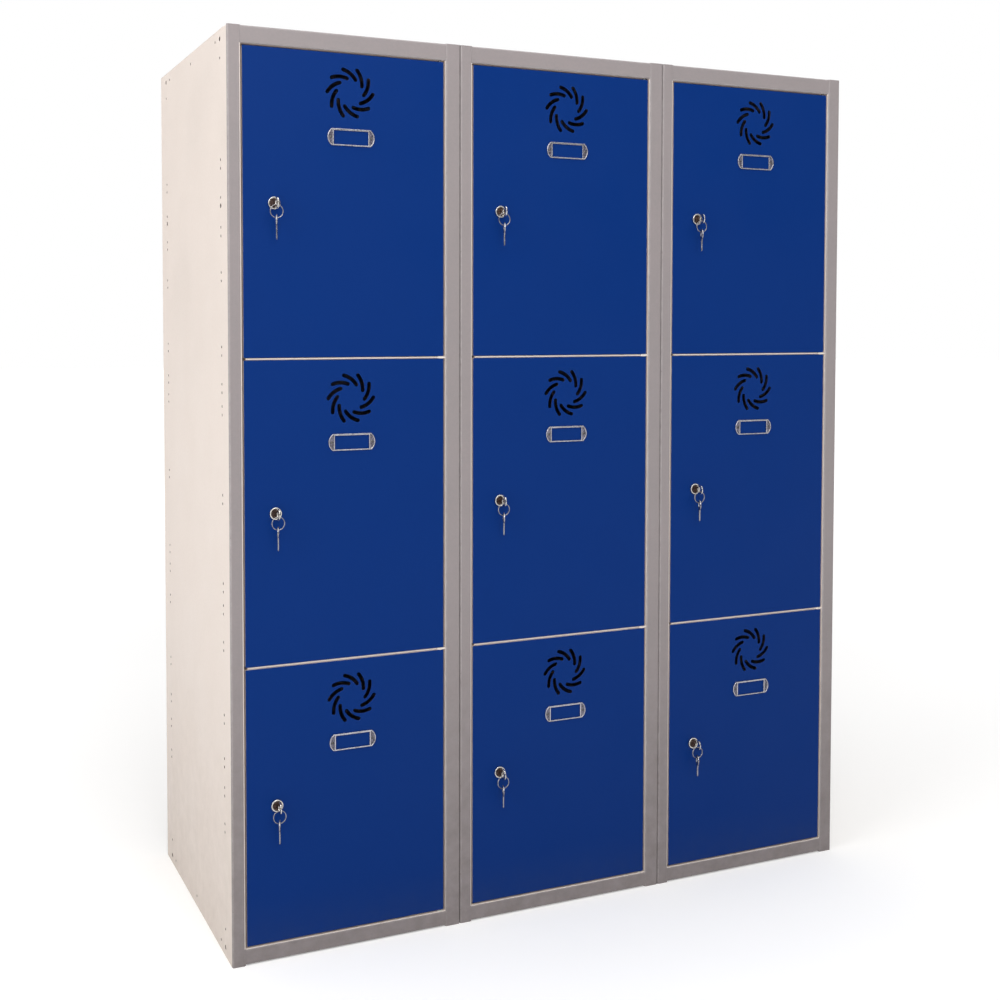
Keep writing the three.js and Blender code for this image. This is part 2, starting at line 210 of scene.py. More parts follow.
# The outline of a folded sheet: the path runs along one face, the metal lies to its left.
# Each point is (u, v, wear), and the folds and the cut ends are worn
def foldedOutline(path, sheet, inside, steps=6, cutWear=0.3):
    def beside(point, angle, step):
        return (point[0] - step * math.sin(angle), point[1] + step * math.cos(angle))

    def heading(i):
        return math.atan2(path[i + 1][1] - path[i][1], path[i + 1][0] - path[i][0])

    face = [(*path[0], cutWear)]
    other = [(*beside(path[0], heading(0), sheet), cutWear)]
    for i in range(1, len(path) - 1):
        before = heading(i - 1)
        bend = heading(i) - before
        bend -= 2 * math.pi * round(bend / (2 * math.pi))
        side = math.copysign(1, bend)
        faceRadius = inside + sheet if side > 0 else inside
        otherRadius = inside if side > 0 else inside + sheet
        run = faceRadius * math.tan(abs(bend) / 2)
        start = (path[i][0] - run * math.cos(before), path[i][1] - run * math.sin(before))
        centre = beside(start, before, side * faceRadius)
        angle = before - side * math.pi / 2
        for radius, points in ((faceRadius, face), (otherRadius, other)):
            bow = arc(centre, radius, angle, angle + bend, steps)
            wornAndHighlit = [math.sin(math.pi * k / steps) for k in range(steps + 1)]
            points += [(u, v, w) for (u, v), w in zip(bow, wornAndHighlit)]
    last = len(path) - 1
    face.append((*path[last], cutWear))
    other.append((*beside(path[last], heading(last - 1), sheet), cutWear))
    return face + other[::-1]


# An outline of (u, v, wear) drawn out along an axis from level to level; walls named in leaveOut stay open
def drawnOut(outline, levels, axis, leaveOut=(), paintOf=None):
    shape = newShape()
    order = {"x": lambda u, v, w: (w, u, v), "z": lambda u, v, w: (u, v, w)}[axis]
    loops = []
    for level in levels:
        loop = addLoop(shape, [order(u, v, level) for u, v, _ in outline])
        for i, (_, _, wear) in zip(loop, outline):
            shape["wear"][i] = wear
        loops.append(loop)
    bridgeAll(shape, loops, leaveOut=leaveOut)
    if paintOf:
        for i in range(len(shape["paints"])):
            run, side = divmod(i, len(outline))
            (u, v, _), (nextU, nextV, _) = outline[side], outline[(side + 1) % len(outline)]
            level = (levels[run] + levels[run + 1]) / 2
            shape["paints"][i] = paintOf((u + nextU) / 2, (v + nextV) / 2, level)
    plane = {"x": (1, 2), "z": (0, 1)}[axis]
    ends = [loops[0], loops[-1]]
    for end in ends:
        fillLoop(shape, end, plane=plane)
    return shape, ends


def meshOf(name, shape, sharpAngle=35):
    mesh = bpy.data.meshes.new(name)
    mesh.from_pydata([point * mm for point in shape["points"]], [], shape["faces"])
    mesh.polygons.foreach_set("material_index", shape["paints"])
    wear = mesh.attributes.new("wear", "FLOAT", "POINT")
    wear.data.foreach_set("value", shape["wear"])
    drawn = mesh.attributes.new("drawn", "FLOAT_VECTOR", "POINT")  # the point in the shape's own millimetres
    drawn.data.foreach_set("vector", [c for point in shape["points"] for c in point])
    tidy = bmesh.new()
    tidy.from_mesh(mesh)
    bmesh.ops.remove_doubles(tidy, verts=tidy.verts, dist=1e-7)
    bmesh.ops.recalc_face_normals(tidy, faces=tidy.faces)
    tidy.to_mesh(mesh)
    tidy.free()
    mesh.shade_smooth()
    mesh.set_sharp_from_angle(angle=math.radians(sharpAngle))
    return mesh


# A piece has its own copy of the mesh, placed in the frame and riding on its body
def addPiece(name, mesh, place, body, paints, standsFor=()):
    own = mesh.copy()
    own.name = name
    own.transform(Matrix.Translation(Vector(place) * mm))
    for paint in paints:
        own.materials.append(paint)
    piece = bpy.data.objects.new(name, own)
    bpy.context.scene.collection.objects.link(piece)
    smooth = piece.modifiers.new("weightedNormals", "WEIGHTED_NORMAL")
    smooth.keep_sharp = True
    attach(piece, body)
    if standsFor:
        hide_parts(*standsFor)
    return piece


# Effects shared by the finishes, each a node group

# A node whose values are set, or linked where one is the socket of another node
def put(tree, kind, values=(), **settings):
    node = tree.nodes.new(kind)
    for name, value in settings.items():
        setattr(node, name, value)
    for socket, value in dict(values).items():
        if isinstance(value, bpy.types.NodeSocket):
            tree.links.new(value, node.inputs[socket])
        else:
            node.inputs[socket].default_value = value
    return node


# Noise with grains of about the given size in metres
def noiseOf(tree, where, size, detail, rough=0.5):
    values = {"Vector": where, "Scale": 1 / size, "Detail": detail, "Roughness": rough}
    return put(tree, "ShaderNodeTexNoise", values).outputs["Fac"]


def rangeOf(tree, value, low, high, toLow=0.0, toHigh=1.0):
    values = {"Value": value, "From Min": low, "From Max": high, "To Min": toLow, "To Max": toHigh}
    return put(tree, "ShaderNodeMapRange", values).outputs["Result"]


def mathOf(tree, operation, a, b):
    return put(tree, "ShaderNodeMath", {0: a, 1: b}, operation=operation).outputs[0]


def mixOf(tree, amount, a, b):
    node = put(tree, "ShaderNodeMix", {0: amount, 6: a, 7: b}, data_type="RGBA")
    return node.outputs[2]


def newGroup(name, inputs, outputs):
    group = bpy.data.node_groups.new(name, "ShaderNodeTree")
    for label, kind, value in inputs:
        socket = group.interface.new_socket(label, in_out="INPUT", socket_type=kind)
        if value is not None:
            socket.default_value = value
    for label, kind in outputs:
        group.interface.new_socket(label, in_out="OUTPUT", socket_type=kind)
    return group, group.nodes.new("NodeGroupInput").outputs, group.nodes.new("NodeGroupOutput").inputs


def useGroup(tree, group, values):
    return put(tree, "ShaderNodeGroup", values, node_tree=group).outputs


number, vector = "NodeSocketFloat", "NodeSocketVector"

# The sizes of the grains in each effect, in metres
grains = {
    "pebbles": 0.0021, "peel": 0.0065, "slowCloud": 0.085, "quickCloud": 0.0042, "sheen": 0.16,
    "rubbed": 0.012, "chips": 0.0045, "soilAndShade": 0.03, "smears": 0.022,
}


# Powder coat: a fine pebbled skin on a slow orange peel, and a cloudy tone
def makePowderCoat():
    group, given, out = newGroup(
        "powderCoat",
        [("Where", vector, None), ("Grain", number, 0.4), ("Peel", number, 0.6), ("Cloud", number, 0.3)],
        [("Height", number), ("Tone", number), ("Sheen", number)],
    )
    cells = {"Vector": given["Where"], "Scale": 1 / grains["pebbles"], "Smoothness": 0.6}
    pebbles = put(group, "ShaderNodeTexVoronoi", cells, feature="SMOOTH_F1").outputs["Distance"]
    grain = mathOf(group, "MULTIPLY", pebbles, given["Grain"])
    peel = mathOf(group, "MULTIPLY", noiseOf(group, given["Where"], grains["peel"], 3), given["Peel"])
    group.links.new(mathOf(group, "ADD", grain, peel), out["Height"])
    slow = noiseOf(group, given["Where"], grains["slowCloud"], 4, 0.6)
    quick = noiseOf(group, given["Where"], grains["quickCloud"], 2)
    cloud = mathOf(group, "ADD", mathOf(group, "MULTIPLY", slow, 0.5), mathOf(group, "MULTIPLY", quick, 0.5))
    centred = mathOf(group, "MULTIPLY", mathOf(group, "SUBTRACT", cloud, 0.5), given["Cloud"])
    group.links.new(mathOf(group, "ADD", centred, 0.5), out["Tone"])
    sheen = noiseOf(group, given["Where"], grains["sheen"], 3)
    group.links.new(rangeOf(group, sheen, 0.35, 0.65), out["Sheen"])
    return group


# Wear on folds and edges, broken up by noise
def makeEdgeWear():
    group, given, out = newGroup(
        "edgeWear",
        [("Where", vector, None), ("Edge", number, 0.0), ("Amount", number, 0.4)],
        [("Rubbed", number), ("Chipped", number)],
    )
    broken = noiseOf(group, given["Where"], grains["rubbed"], 5, 0.65)
    reach = mathOf(group, "MULTIPLY", given["Edge"], given["Amount"])
    group.links.new(mathOf(group, "MULTIPLY", reach, rangeOf(group, broken, 0.3, 0.7)), out["Rubbed"])
    chips = rangeOf(group, noiseOf(group, given["Where"], grains["chips"], 3), 0.66, 0.72)
    group.links.new(mathOf(group, "MULTIPLY", chips, rangeOf(group, reach, 0.3, 0.5)), out["Chipped"])
    return group


# Darker and patchy towards the floor: partly dust and scuffs, partly painted shade at the foot of each piece
def makeFloorSoilAndShade():
    group, given, out = newGroup(
        "floorSoilAndShade",
        [("Where", vector, None), ("Reach", number, 0.18), ("Amount", number, 0.5)],
        [("SoilAndShade", number)],
    )
    height = put(group, "ShaderNodeSeparateXYZ", {0: given["Where"]}).outputs["Z"]
    falling = {"Value": height, "From Min": 0.0, "From Max": given["Reach"], "To Min": 1.0, "To Max": 0.0}
    fade = put(group, "ShaderNodeMapRange", falling, interpolation_type="SMOOTHSTEP").outputs["Result"]
    patchy = rangeOf(group, noiseOf(group, given["Where"], grains["soilAndShade"], 6, 0.65), 0.12, 0.7)
    low = mathOf(group, "MULTIPLY", fade, patchy)
    group.links.new(mathOf(group, "MULTIPLY", low, given["Amount"]), out["SoilAndShade"])
    return group


# Fine scratches in two directions, and the smears that fingers leave
def makeHandling():
    group, given, out = newGroup(
        "handling",
        [("Where", vector, None), ("Size", number, 0.001), ("Scratches", number, 0.5)],
        [("Scratch", number), ("Smear", number)],
    )
    lines = []
    for stretch in ((1.0, 0.06, 0.9), (0.9, 1.0, 0.07)):  # a scratch is long where this is small
        bent = put(group, "ShaderNodeVectorMath", {0: given["Where"], 1: stretch}, operation="MULTIPLY")
        field = put(group, "ShaderNodeTexNoise", {"Vector": bent.outputs[0], "Detail": 1.0})
        group.links.new(mathOf(group, "DIVIDE", 1.0, given["Size"]), field.inputs["Scale"])
        lines.append(rangeOf(group, field.outputs["Fac"], 0.60, 0.66))
    both = mathOf(group, "MAXIMUM", *lines)
    group.links.new(mathOf(group, "MULTIPLY", both, given["Scratches"]), out["Scratch"])
    smears = noiseOf(group, given["Where"], grains["smears"], 4, 0.6)
    group.links.new(rangeOf(group, smears, 0.35, 0.7), out["Smear"])
    return group


powderCoat, edgeWear = makePowderCoat(), makeEdgeWear()
floorSoilAndShade, handling = makeFloorSoilAndShade(), makeHandling()


# A material with its plain values set on the shader, and the object's own coordinates in metres
def newFinish(name, look):
    finish = bpy.data.materials.new(name)
    finish.use_nodes = True
    tree = finish.node_tree
    tree.nodes.clear()
    shader = tree.nodes.new("ShaderNodeBsdfPrincipled")
    output = tree.nodes.new("ShaderNodeOutputMaterial")
    tree.links.new(shader.outputs["BSDF"], output.inputs["Surface"])
    for socket, value in look.items():
        shader.inputs[socket].default_value = value
    where = tree.nodes.new("ShaderNodeTexCoord").outputs["Object"]
    return finish, tree, shader, where


def attributeOf(tree, name, socket="Fac"):
    return put(tree, "ShaderNodeAttribute", attribute_name=name, attribute_type="GEOMETRY").outputs[socket]


def edgeOf(tree, where, amount):
    return useGroup(tree, edgeWear, {"Where": where, "Edge": attributeOf(tree, "wear"), "Amount": amount})


def handledOf(tree, where, size, scratches):
    return useGroup(tree, handling, {"Where": where, "Size": size, "Scratches": scratches})


def addBump(tree, shader, height, depth):
    bump = put(tree, "ShaderNodeBump", {"Height": height, "Distance": depth, "Strength": 1.0})
    tree.links.new(bump.outputs["Normal"], shader.inputs["Normal"])


# Paints: the coat's tone and a deeper one, the tone where it is rubbed, which is lighter and also paints a
# highlight along the folds, and the dark of its soil, which also paints shade towards the floor.
# Dull and bright are the roughness where the gloss is least and greatest
creamCoat = {
    "color": (0.825, 0.737, 0.68, 1), "deep": (0.722, 0.632, 0.568, 1), "wornAndHighlit": (0.86, 0.81, 0.75, 1),
    "soilAndShade": (0.36, 0.31, 0.26, 1), "dull": 0.62, "bright": 0.48, "bumpDepth": 0.00022,
    "grain": 0.45, "peel": 1.0, "cloud": 0.9, "soilAndShadeReach": 0.55, "soilAndShadeAmount": 0.27, "wear": 0.5,
}
# On the grey frame the soil reaches high and is strong: besides dust, it paints the shade that darkens the
# lower rail
greyCoat = {
    "color": (0.308, 0.266, 0.267, 1), "deep": (0.264, 0.239, 0.240, 1), "wornAndHighlit": (0.42, 0.39, 0.385, 1),
    "soilAndShade": (0.13, 0.108, 0.10, 1), "dull": 0.56, "bright": 0.42, "bumpDepth": 0.00012,
    "grain": 0.3, "peel": 0.8, "cloud": 1.5, "soilAndShadeReach": 0.7, "soilAndShadeAmount": 0.5, "wear": 0.6,
}
# Near-black paint for the walls of punched holes and vent slots: painted shade, standing in for the dark
# inside them
punchedShadeSkin = {
    "color": (0.058, 0.040, 0.032, 1), "deep": (0.030, 0.020, 0.016, 1), "wornAndHighlit": (0.10, 0.08, 0.07, 1),
    "soilAndShade": (0.02, 0.016, 0.013, 1), "dull": 0.7, "bright": 0.5, "bumpDepth": 0.00005,
    "grain": 0.5, "peel": 0.4, "cloud": 1.2, "soilAndShadeReach": 0.2, "soilAndShadeAmount": 0.3, "wear": 0.4,
}
blueCoat = {
    "color": (0.0004, 0.0275, 0.172, 1), "deep": (0.0003, 0.0248, 0.160, 1), "wornAndHighlit": (0.006, 0.050, 0.23, 1),
    "soilAndShade": (0.03, 0.05, 0.13, 1), "dull": 0.54, "bright": 0.40, "bumpDepth": 0.00016,
    "grain": 0.3, "peel": 0.9, "cloud": 1.2, "soilAndShadeReach": 0.12, "soilAndShadeAmount": 0.3, "wear": 0.35,
}
paintWear = {"chipSoil": 0.5, "rubbedGloss": 0.12, "soilDulls": 0.3}


def makePaint(name, coat, specular):
    finish, tree, shader, where = newFinish(name, {"Specular IOR Level": specular})
    pebbled = {"Where": where, "Grain": coat["grain"], "Peel": coat["peel"], "Cloud": coat["cloud"]}
    soiledAndShaded = {"Where": where, "Reach": coat["soilAndShadeReach"], "Amount": coat["soilAndShadeAmount"]}
    skin = useGroup(tree, powderCoat, pebbled)
    wornAndHighlit = edgeOf(tree, where, coat["wear"])
    # Darker towards the floor: dust and scuffs, and painted shade at the foot
    soilAndShade = useGroup(tree, floorSoilAndShade, soiledAndShaded)
    tone = mixOf(tree, skin["Tone"], coat["deep"], coat["color"])
    # Folds and edges take a lighter tone: partly rubbed paint, partly a painted highlight along the bends
    rubbed = mixOf(tree, wornAndHighlit["Rubbed"], tone, coat["wornAndHighlit"])
    chips = mathOf(tree, "MULTIPLY", wornAndHighlit["Chipped"], paintWear["chipSoil"])
    chipped = mixOf(tree, chips, rubbed, coat["soilAndShade"])
    tree.links.new(mixOf(tree, soilAndShade["SoilAndShade"], chipped, coat["soilAndShade"]), shader.inputs["Base Color"])
    gloss = rangeOf(tree, skin["Sheen"], 0, 1, coat["dull"], coat["bright"])
    polish = mathOf(tree, "MULTIPLY", wornAndHighlit["Rubbed"], paintWear["rubbedGloss"])
    dust = mathOf(tree, "MULTIPLY", soilAndShade["SoilAndShade"], paintWear["soilDulls"])
    roughness = mathOf(tree, "ADD", mathOf(tree, "SUBTRACT", gloss, polish), dust)
    tree.links.new(roughness, shader.inputs["Roughness"])
    addBump(tree, shader, skin["Height"], coat["bumpDepth"])
    return finish


creamPowder = makePaint("creamPowder", creamCoat, 0.35)
greySatin = makePaint("greySatin", greyCoat, 0.4)
bluePaint = makePaint("bluePaint", blueCoat, 0.09)
punchedEdgeShade = makePaint("punchedEdgeShade", punchedShadeSkin, 0.2)


# Bare and plated metal: scratches, smears and a slight change of tone
plating = {
    "nickelPlate": {
        "light": (0.80, 0.775, 0.735, 1), "dark": (0.55, 0.525, 0.49, 1), "dull": 0.20, "bright": 0.08,
        "scratchSize": 0.0016, "scratches": 0.5, "bumpDepth": 0.00003,
    },
    "keySteel": {
        "light": (0.45, 0.435, 0.44, 1), "dark": (0.25, 0.24, 0.245, 1), "dull": 0.34, "bright": 0.18,
        "scratchSize": 0.0011, "scratches": 0.9, "bumpDepth": 0.00005,
    },
    "darkSteel": {
        "light": (0.17, 0.165, 0.16, 1), "dark": (0.07, 0.068, 0.066, 1), "dull": 0.5, "bright": 0.34,
        "scratchSize": 0.002, "scratches": 0.5, "bumpDepth": 0.00005,
    },
    "zincPlate": {
        "light": (0.63, 0.635, 0.63, 1), "dark": (0.45, 0.45, 0.46, 1), "dull": 0.5, "bright": 0.32,
        "scratchSize": 0.002, "scratches": 0.6, "bumpDepth": 0.00005,
    },
    "satinSilver": {
        "light": (0.61, 0.59, 0.625, 1), "dark": (0.38, 0.365, 0.395, 1), "dull": 0.34, "bright": 0.20,
        "scratchSize": 0.0022, "scratches": 0.45, "bumpDepth": 0.00003,
    },
}


metalWear = {"toneGrain": 0.006, "edges": 0.8, "edgeLight": 0.6, "scratchDark": 0.35, "scratchDull": 0.18}


def makeMetal(name):
    look, wear = plating[name], metalWear
    finish, tree, shader, where = newFinish(name, {"Metallic": 1.0})
    marks = handledOf(tree, where, look["scratchSize"], look["scratches"])
    rubbed = mathOf(tree, "MULTIPLY", edgeOf(tree, where, wear["edges"])["Rubbed"], wear["edgeLight"])
    scratched = mathOf(tree, "MULTIPLY", marks["Scratch"], wear["scratchDark"])
    tone = rangeOf(tree, noiseOf(tree, where, wear["toneGrain"], 4, 0.6), 0.3, 0.7)
    edged = mixOf(tree, rubbed, mixOf(tree, tone, look["dark"], look["light"]), look["light"])
    tree.links.new(mixOf(tree, scratched, edged, look["dark"]), shader.inputs["Base Color"])
    gloss = rangeOf(tree, marks["Smear"], 0, 1, look["bright"], look["dull"])
    duller = mathOf(tree, "MULTIPLY", marks["Scratch"], wear["scratchDull"])
    tree.links.new(mathOf(tree, "ADD", gloss, duller), shader.inputs["Roughness"])
    addBump(tree, shader, mathOf(tree, "MULTIPLY", marks["Scratch"], -1.0), look["bumpDepth"])
    return finish


nickelPlate, keySteel = makeMetal("nickelPlate"), makeMetal("keySteel")
zincPlate, satinSilver, darkSteel = makeMetal("zincPlate"), makeMetal("satinSilver"), makeMetal("darkSteel")

# The plug's face: dark plate brushed from its middle outwards
plugLook = {
    "light": (0.13, 0.088, 0.08, 1), "dark": (0.022, 0.013, 0.012, 1), "streaks": 3.25, "streakSize": 0.35,
    "differs": 9.0, "scratchSize": 0.0012, "scratches": 0.6, "dull": 0.46, "bright": 0.26,
    "bumpDepth": 0.00008,
}


def makePlugFace():
    look = plugLook
    finish, tree, shader, where = newFinish("darkPlug", {"Metallic": 1.0})
    parts = put(tree, "ShaderNodeSeparateXYZ", {0: attributeOf(tree, "drawn", "Vector")}).outputs
    angle = mathOf(tree, "MULTIPLY", mathOf(tree, "ARCTAN2", parts["X"], parts["Z"]), look["streaks"])
    around = put(tree, "ShaderNodeCombineXYZ", {0: angle}).outputs[0]
    spread = {0: where, 1: [look["differs"]] * 3}  # so that no two locks have the same streaks
    local = put(tree, "ShaderNodeVectorMath", spread, operation="MULTIPLY").outputs[0]
    shifted = put(tree, "ShaderNodeVectorMath", {0: around, 1: local}, operation="ADD").outputs[0]
    streak = rangeOf(tree, noiseOf(tree, shifted, look["streakSize"], 3, 0.6), 0.36, 0.66)
    tree.links.new(mixOf(tree, streak, look["dark"], look["light"]), shader.inputs["Base Color"])
    smear = handledOf(tree, where, look["scratchSize"], look["scratches"])["Smear"]
    tree.links.new(rangeOf(tree, smear, 0, 1, look["bright"], look["dull"]), shader.inputs["Roughness"])
    addBump(tree, shader, streak, look["bumpDepth"])
    return finish


# Smoked plastic: dark and mottled
smokedLook = {
    "light": (0.17, 0.158, 0.215, 1), "dark": (0.03, 0.027, 0.042, 1), "mottle": 0.0034,
    "scratchSize": 0.0015, "scratches": 0.4, "dull": 0.34, "bright": 0.18, "bumpDepth": 0.0004,
}


def makeSmokedPlastic():
    look = smokedLook
    finish, tree, shader, where = newFinish("smokedPlastic", {"Specular IOR Level": 0.6, "Coat Weight": 0.3})
    cells = {"Vector": where, "Scale": 1 / look["mottle"]}
    mottle = put(tree, "ShaderNodeTexVoronoi", cells).outputs["Distance"]
    tone = mixOf(tree, rangeOf(tree, mottle, 0.15, 0.75), look["dark"], look["light"])
    tree.links.new(tone, shader.inputs["Base Color"])
    smear = handledOf(tree, where, look["scratchSize"], look["scratches"])["Smear"]
    tree.links.new(rangeOf(tree, smear, 0, 1, look["bright"], look["dull"]), shader.inputs["Roughness"])
    addBump(tree, shader, mottle, look["bumpDepth"])
    return finish


nylonLook = {
    "light": (0.68, 0.65, 0.59, 1), "dark": (0.58, 0.55, 0.49, 1), "dull": 0.56, "bright": 0.42,
    "cloud": 0.004, "grain": 0.0006, "bumpDepth": 0.00004,
}


def makeNylon():
    look = nylonLook
    inside = {"Subsurface Weight": 0.1, "Subsurface Scale": 0.001}
    finish, tree, shader, where = newFinish("whiteNylon", inside)
    tone = noiseOf(tree, where, look["cloud"], 3)
    tree.links.new(mixOf(tree, tone, look["dark"], look["light"]), shader.inputs["Base Color"])
    tree.links.new(rangeOf(tree, tone, 0.3, 0.7, look["bright"], look["dull"]), shader.inputs["Roughness"])
    addBump(tree, shader, noiseOf(tree, where, look["grain"], 2), look["bumpDepth"])
    return finish


darkPlug, smokedPlastic, whiteNylon = makePlugFace(), makeSmokedPlastic(), makeNylon()
print("finishes made")


# Front frames

frameLow, frameHigh = corners("unit1_front_frame")
frontY, unitHigh = frameLow.y, frameHigh.z
halfWide = (frameHigh.x - frameLow.x) / 2
unitX = {n: sum(c.x for c in corners(f"unit{n}_front_frame")) / 2 for n in units}
doorBoxes = {tier: corners(f"unit1_{tier}_door") for tier in tiers}
openLow, openHigh = doorBoxes["bottom"][0].z, doorBoxes["top"][1].z

# The grey keys give how deep the grey reaches before the cream; they are set to paint light lines along the
# jambs and the sill, and a dark line under the head
frameSizes = {
    "sheet": 1.2, "inside": 2.0, "latchStile": 22.0, "hingeStile": 27.0, "depth": 25.0, "edge": 4.0,
    "lip": 10.0, "setback": 0.4, "headGap": 2.5, "sillGap": 2.5, "footDrop": 1.7, "sillDepth": 20.0,
    "seam": 0.15, "weld": 1.5, "capInset": 1.35, "capDrop": 0.25, "capCorner": 1.0, "capSoft": 0.2,
    "footNotch": 12.0, "hingeGreyAndLight": 1.6, "latchGreyAndLight": 0.14, "headGreyAndShade": 12.0, "sillGreyAndLight": 0.9,
}
headLow, sillHigh = openHigh + frameSizes["headGap"], openLow - frameSizes["sillGap"]


# The end plate of a stile, between two corners, lying at z = 0
def capShape(low, high):
    size = frameSizes
    outline = roundedBox(low, high, size["capCorner"], 2)
    return slab(outline, size["sheet"], size["capSoft"], steps=2)


# The frame is grey on its face and cream in its reveals, and where the grey stops is set to paint light and
# shade. The grey reaches round the inner fold on the hinge side and deep at the head, where it paints a dark
# line under the rail; elsewhere it stops on the fold, and the cream fold paints a light line along the latch
# side and the sill
def stileShape(outer, inner, greyToPaintedLines):
    size = frameSizes
    inward = math.copysign(1, inner - outer)
    path = [(outer, frontY + size["edge"]), (outer, frontY), (inner, frontY), (inner, frontY + size["depth"]),
            (inner - inward * size["lip"], frontY + size["depth"])]
    outline = foldedOutline(path[::-1] if inward < 0 else path, size["sheet"], size["inside"])

    def inReveal(x, y, z):
        return int(sillHigh < z < headLow and y - frontY > greyToPaintedLines and abs(x - outer) > size["edge"])

    shape, _ = drawnOut(outline, (0, sillHigh, headLow, unitHigh), "z", paintOf=inReveal)
    inset = size["capInset"]
    head, foot = unitHigh - size["sheet"] - size["capDrop"], size["capDrop"]
    for z, start in ((head, inset), (foot, size["footNotch"])):
        left, right = sorted((outer + inward * start, inner - inward * inset))
        cap = capShape((left, frontY + inset), (right, frontY + size["depth"] - inset))
        addShape(shape, cap, moved(z=z))
    return shape


def railShape(high, low, upperLeg, lowerLeg, doorSide, greyToPaintedLines):
    size = frameSizes
    face = frontY + size["setback"]
    path = [(frontY + upperLeg, high), (face, high), (face, low), (frontY + lowerLeg, low)]
    ends = (size["latchStile"] - halfWide - size["weld"], halfWide - size["hingeStile"] + size["weld"])

    def inReveal(y, z, _):
        return int(y - frontY > greyToPaintedLines and (z - (high + low) / 2) * doorSide > 0)

    return drawnOut(foldedOutline(path, size["sheet"], size["inside"]), ends, "x", paintOf=inReveal)[0]


latchReveal = frameSizes["latchStile"] - halfWide
hingeReveal = halfWide - frameSizes["hingeStile"]
railLeg = frameSizes["depth"] - frameSizes["setback"]
frameParts = {
    "stile_latch": stileShape(-halfWide, latchReveal, frameSizes["latchGreyAndLight"]),
    "stile_hinge": stileShape(halfWide, hingeReveal, frameSizes["hingeGreyAndLight"]),
    "rail_top": railShape(unitHigh, headLow, railLeg, railLeg, -1, frameSizes["headGreyAndShade"]),
    "rail_bottom": railShape(sillHigh, frameSizes["footDrop"], railLeg, frameSizes["sillDepth"], 1,
                             frameSizes["setback"] + frameSizes["sillGreyAndLight"]),
}

# Hinges: tabs welded to the hinge stile, pins through them, and nylon washers beside them
hingeSizes = {
    "pinRadius": 3.0, "pinChamfer": 0.7, "pinReach": 6.0, "pinRoot": 0.6, "tabThick": 3.0, "tabMargin": 6.0,
    "tabDepth": 9.0, "tabCorner": 1.6, "tabSoft": 0.35, "washerRadius": 5.4, "washerThick": 0.4,
    "washerSoft": 0.12, "washerPlay": 0.15, "washerGap": 0.05, "sillWashers": 3,
}
pivot = Vector(next(j["pos_m"] for j in frame["joints"] if j["name"] == "top_door_1_hinge")) / mm
pivot.x -= unitX[1]
doorGaps = [(doorBoxes[lower][1].z, doorBoxes[upper][0].z) for upper, lower in zip(tiers, tiers[1:])]


def pinShape(low, high):
    size = hingeSizes
    r, c = size["pinRadius"], size["pinChamfer"]
    below = [(0, low), (r - c, low, 1), (r, low + c, 0.6)]
    above = [(r, high - c, 0.6), (r - c, high, 1), (0, high)]
    pin = lathe(below + above, 28, False)
    return turned(pin, moved(pivot.x, pivot.y) @ Matrix.Rotation(math.pi / 2, 4, "X"))


def washerShape(low):
    size = hingeSizes
    rim = circle((0, 0), size["washerRadius"], 36)
    bore = circle((0, 0), size["pinRadius"] + size["washerPlay"], 36)
    ring = slab(rim, size["washerThick"], size["washerSoft"], [bore], steps=2)
    return turned(ring, moved(pivot.x, pivot.y, low))


tabs, pins, washers = newShape(), newShape(), newShape()
size = hingeSizes
for low, high in doorGaps:
    middle = (low + high) / 2
    near = (pivot.x - size["tabMargin"], pivot.y - size["tabDepth"] / 2)
    far = (hingeReveal - frameSizes["seam"], pivot.y + size["tabDepth"] / 2)
    tab = slab(roundedBox(near, far, size["tabCorner"]), size["tabThick"], size["tabSoft"])
    addShape(tabs, tab, moved(z=middle - size["tabThick"] / 2))
    addShape(pins, pinShape(low - size["pinReach"], high + size["pinReach"]))
    clear = size["tabThick"] / 2 + size["washerGap"]
    addShape(washers, washerShape(middle + clear))
    addShape(washers, washerShape(middle - clear - size["washerThick"]))
addShape(pins, pinShape(openHigh - size["pinReach"], headLow + size["pinRoot"]))
addShape(pins, pinShape(sillHigh - size["pinRoot"], openLow + size["pinReach"]))
for level in range(size["sillWashers"]):
    each = size["washerThick"] + 2 * size["washerGap"]
    addShape(washers, washerShape(sillHigh + size["washerPlay"] + level * each))

frameMeshes = {name: meshOf(name, shape) for name, shape in frameParts.items()}
tabMesh, pinMesh, washerMesh = meshOf("tabs", tabs), meshOf("pins", pins), meshOf("washers", washers)
for n in units:
    at, solid = (unitX[n], 0, 0), [f"unit{n}_front_frame"]
    for name, mesh in frameMeshes.items():
        addPiece(f"unit{n}_{name}", mesh, at, "carcass", [greySatin, creamPowder], solid)
    addPiece(f"unit{n}_hinge_tabs", tabMesh, at, "carcass", [creamPowder], solid)
    addPiece(f"unit{n}_hinge_pins", pinMesh, at, "carcass", [darkSteel], solid)
    addPiece(f"unit{n}_hinge_washers", washerMesh, at, "carcass", [whiteNylon])
print("front frames made")


# Side panels, punched for shelves and for joining

sideSizes = {
    "sheet": 1.0, "inside": 1.2, "gap": 0.3, "frontFlange": 11.0, "backFlange": 15.0, "headFlange": 15.0,
    "frontRow": 45.0, "backRow": 47.0, "pairHalf": 6.9, "run": 1432.0, "tierCounts": (2, 3, 4, 5, 6, 8),
    "small": 2.2, "large": 3.6, "single": 45.5, "joining": 15.5, "upperJoining": 279.0, "beside": 30.0,
    "rimLip": 0.35, "midDepth": 18.0, "flangeFront": 27.0, "flangeBack": 3.0, "flangeGap": 0.05,
    "flangeCorner": 0.8, "flangeSoft": 0.2,
}
sideBack = corners("unit1_side_left")[1]
backY, sideHigh = sideBack.y, sideBack.z


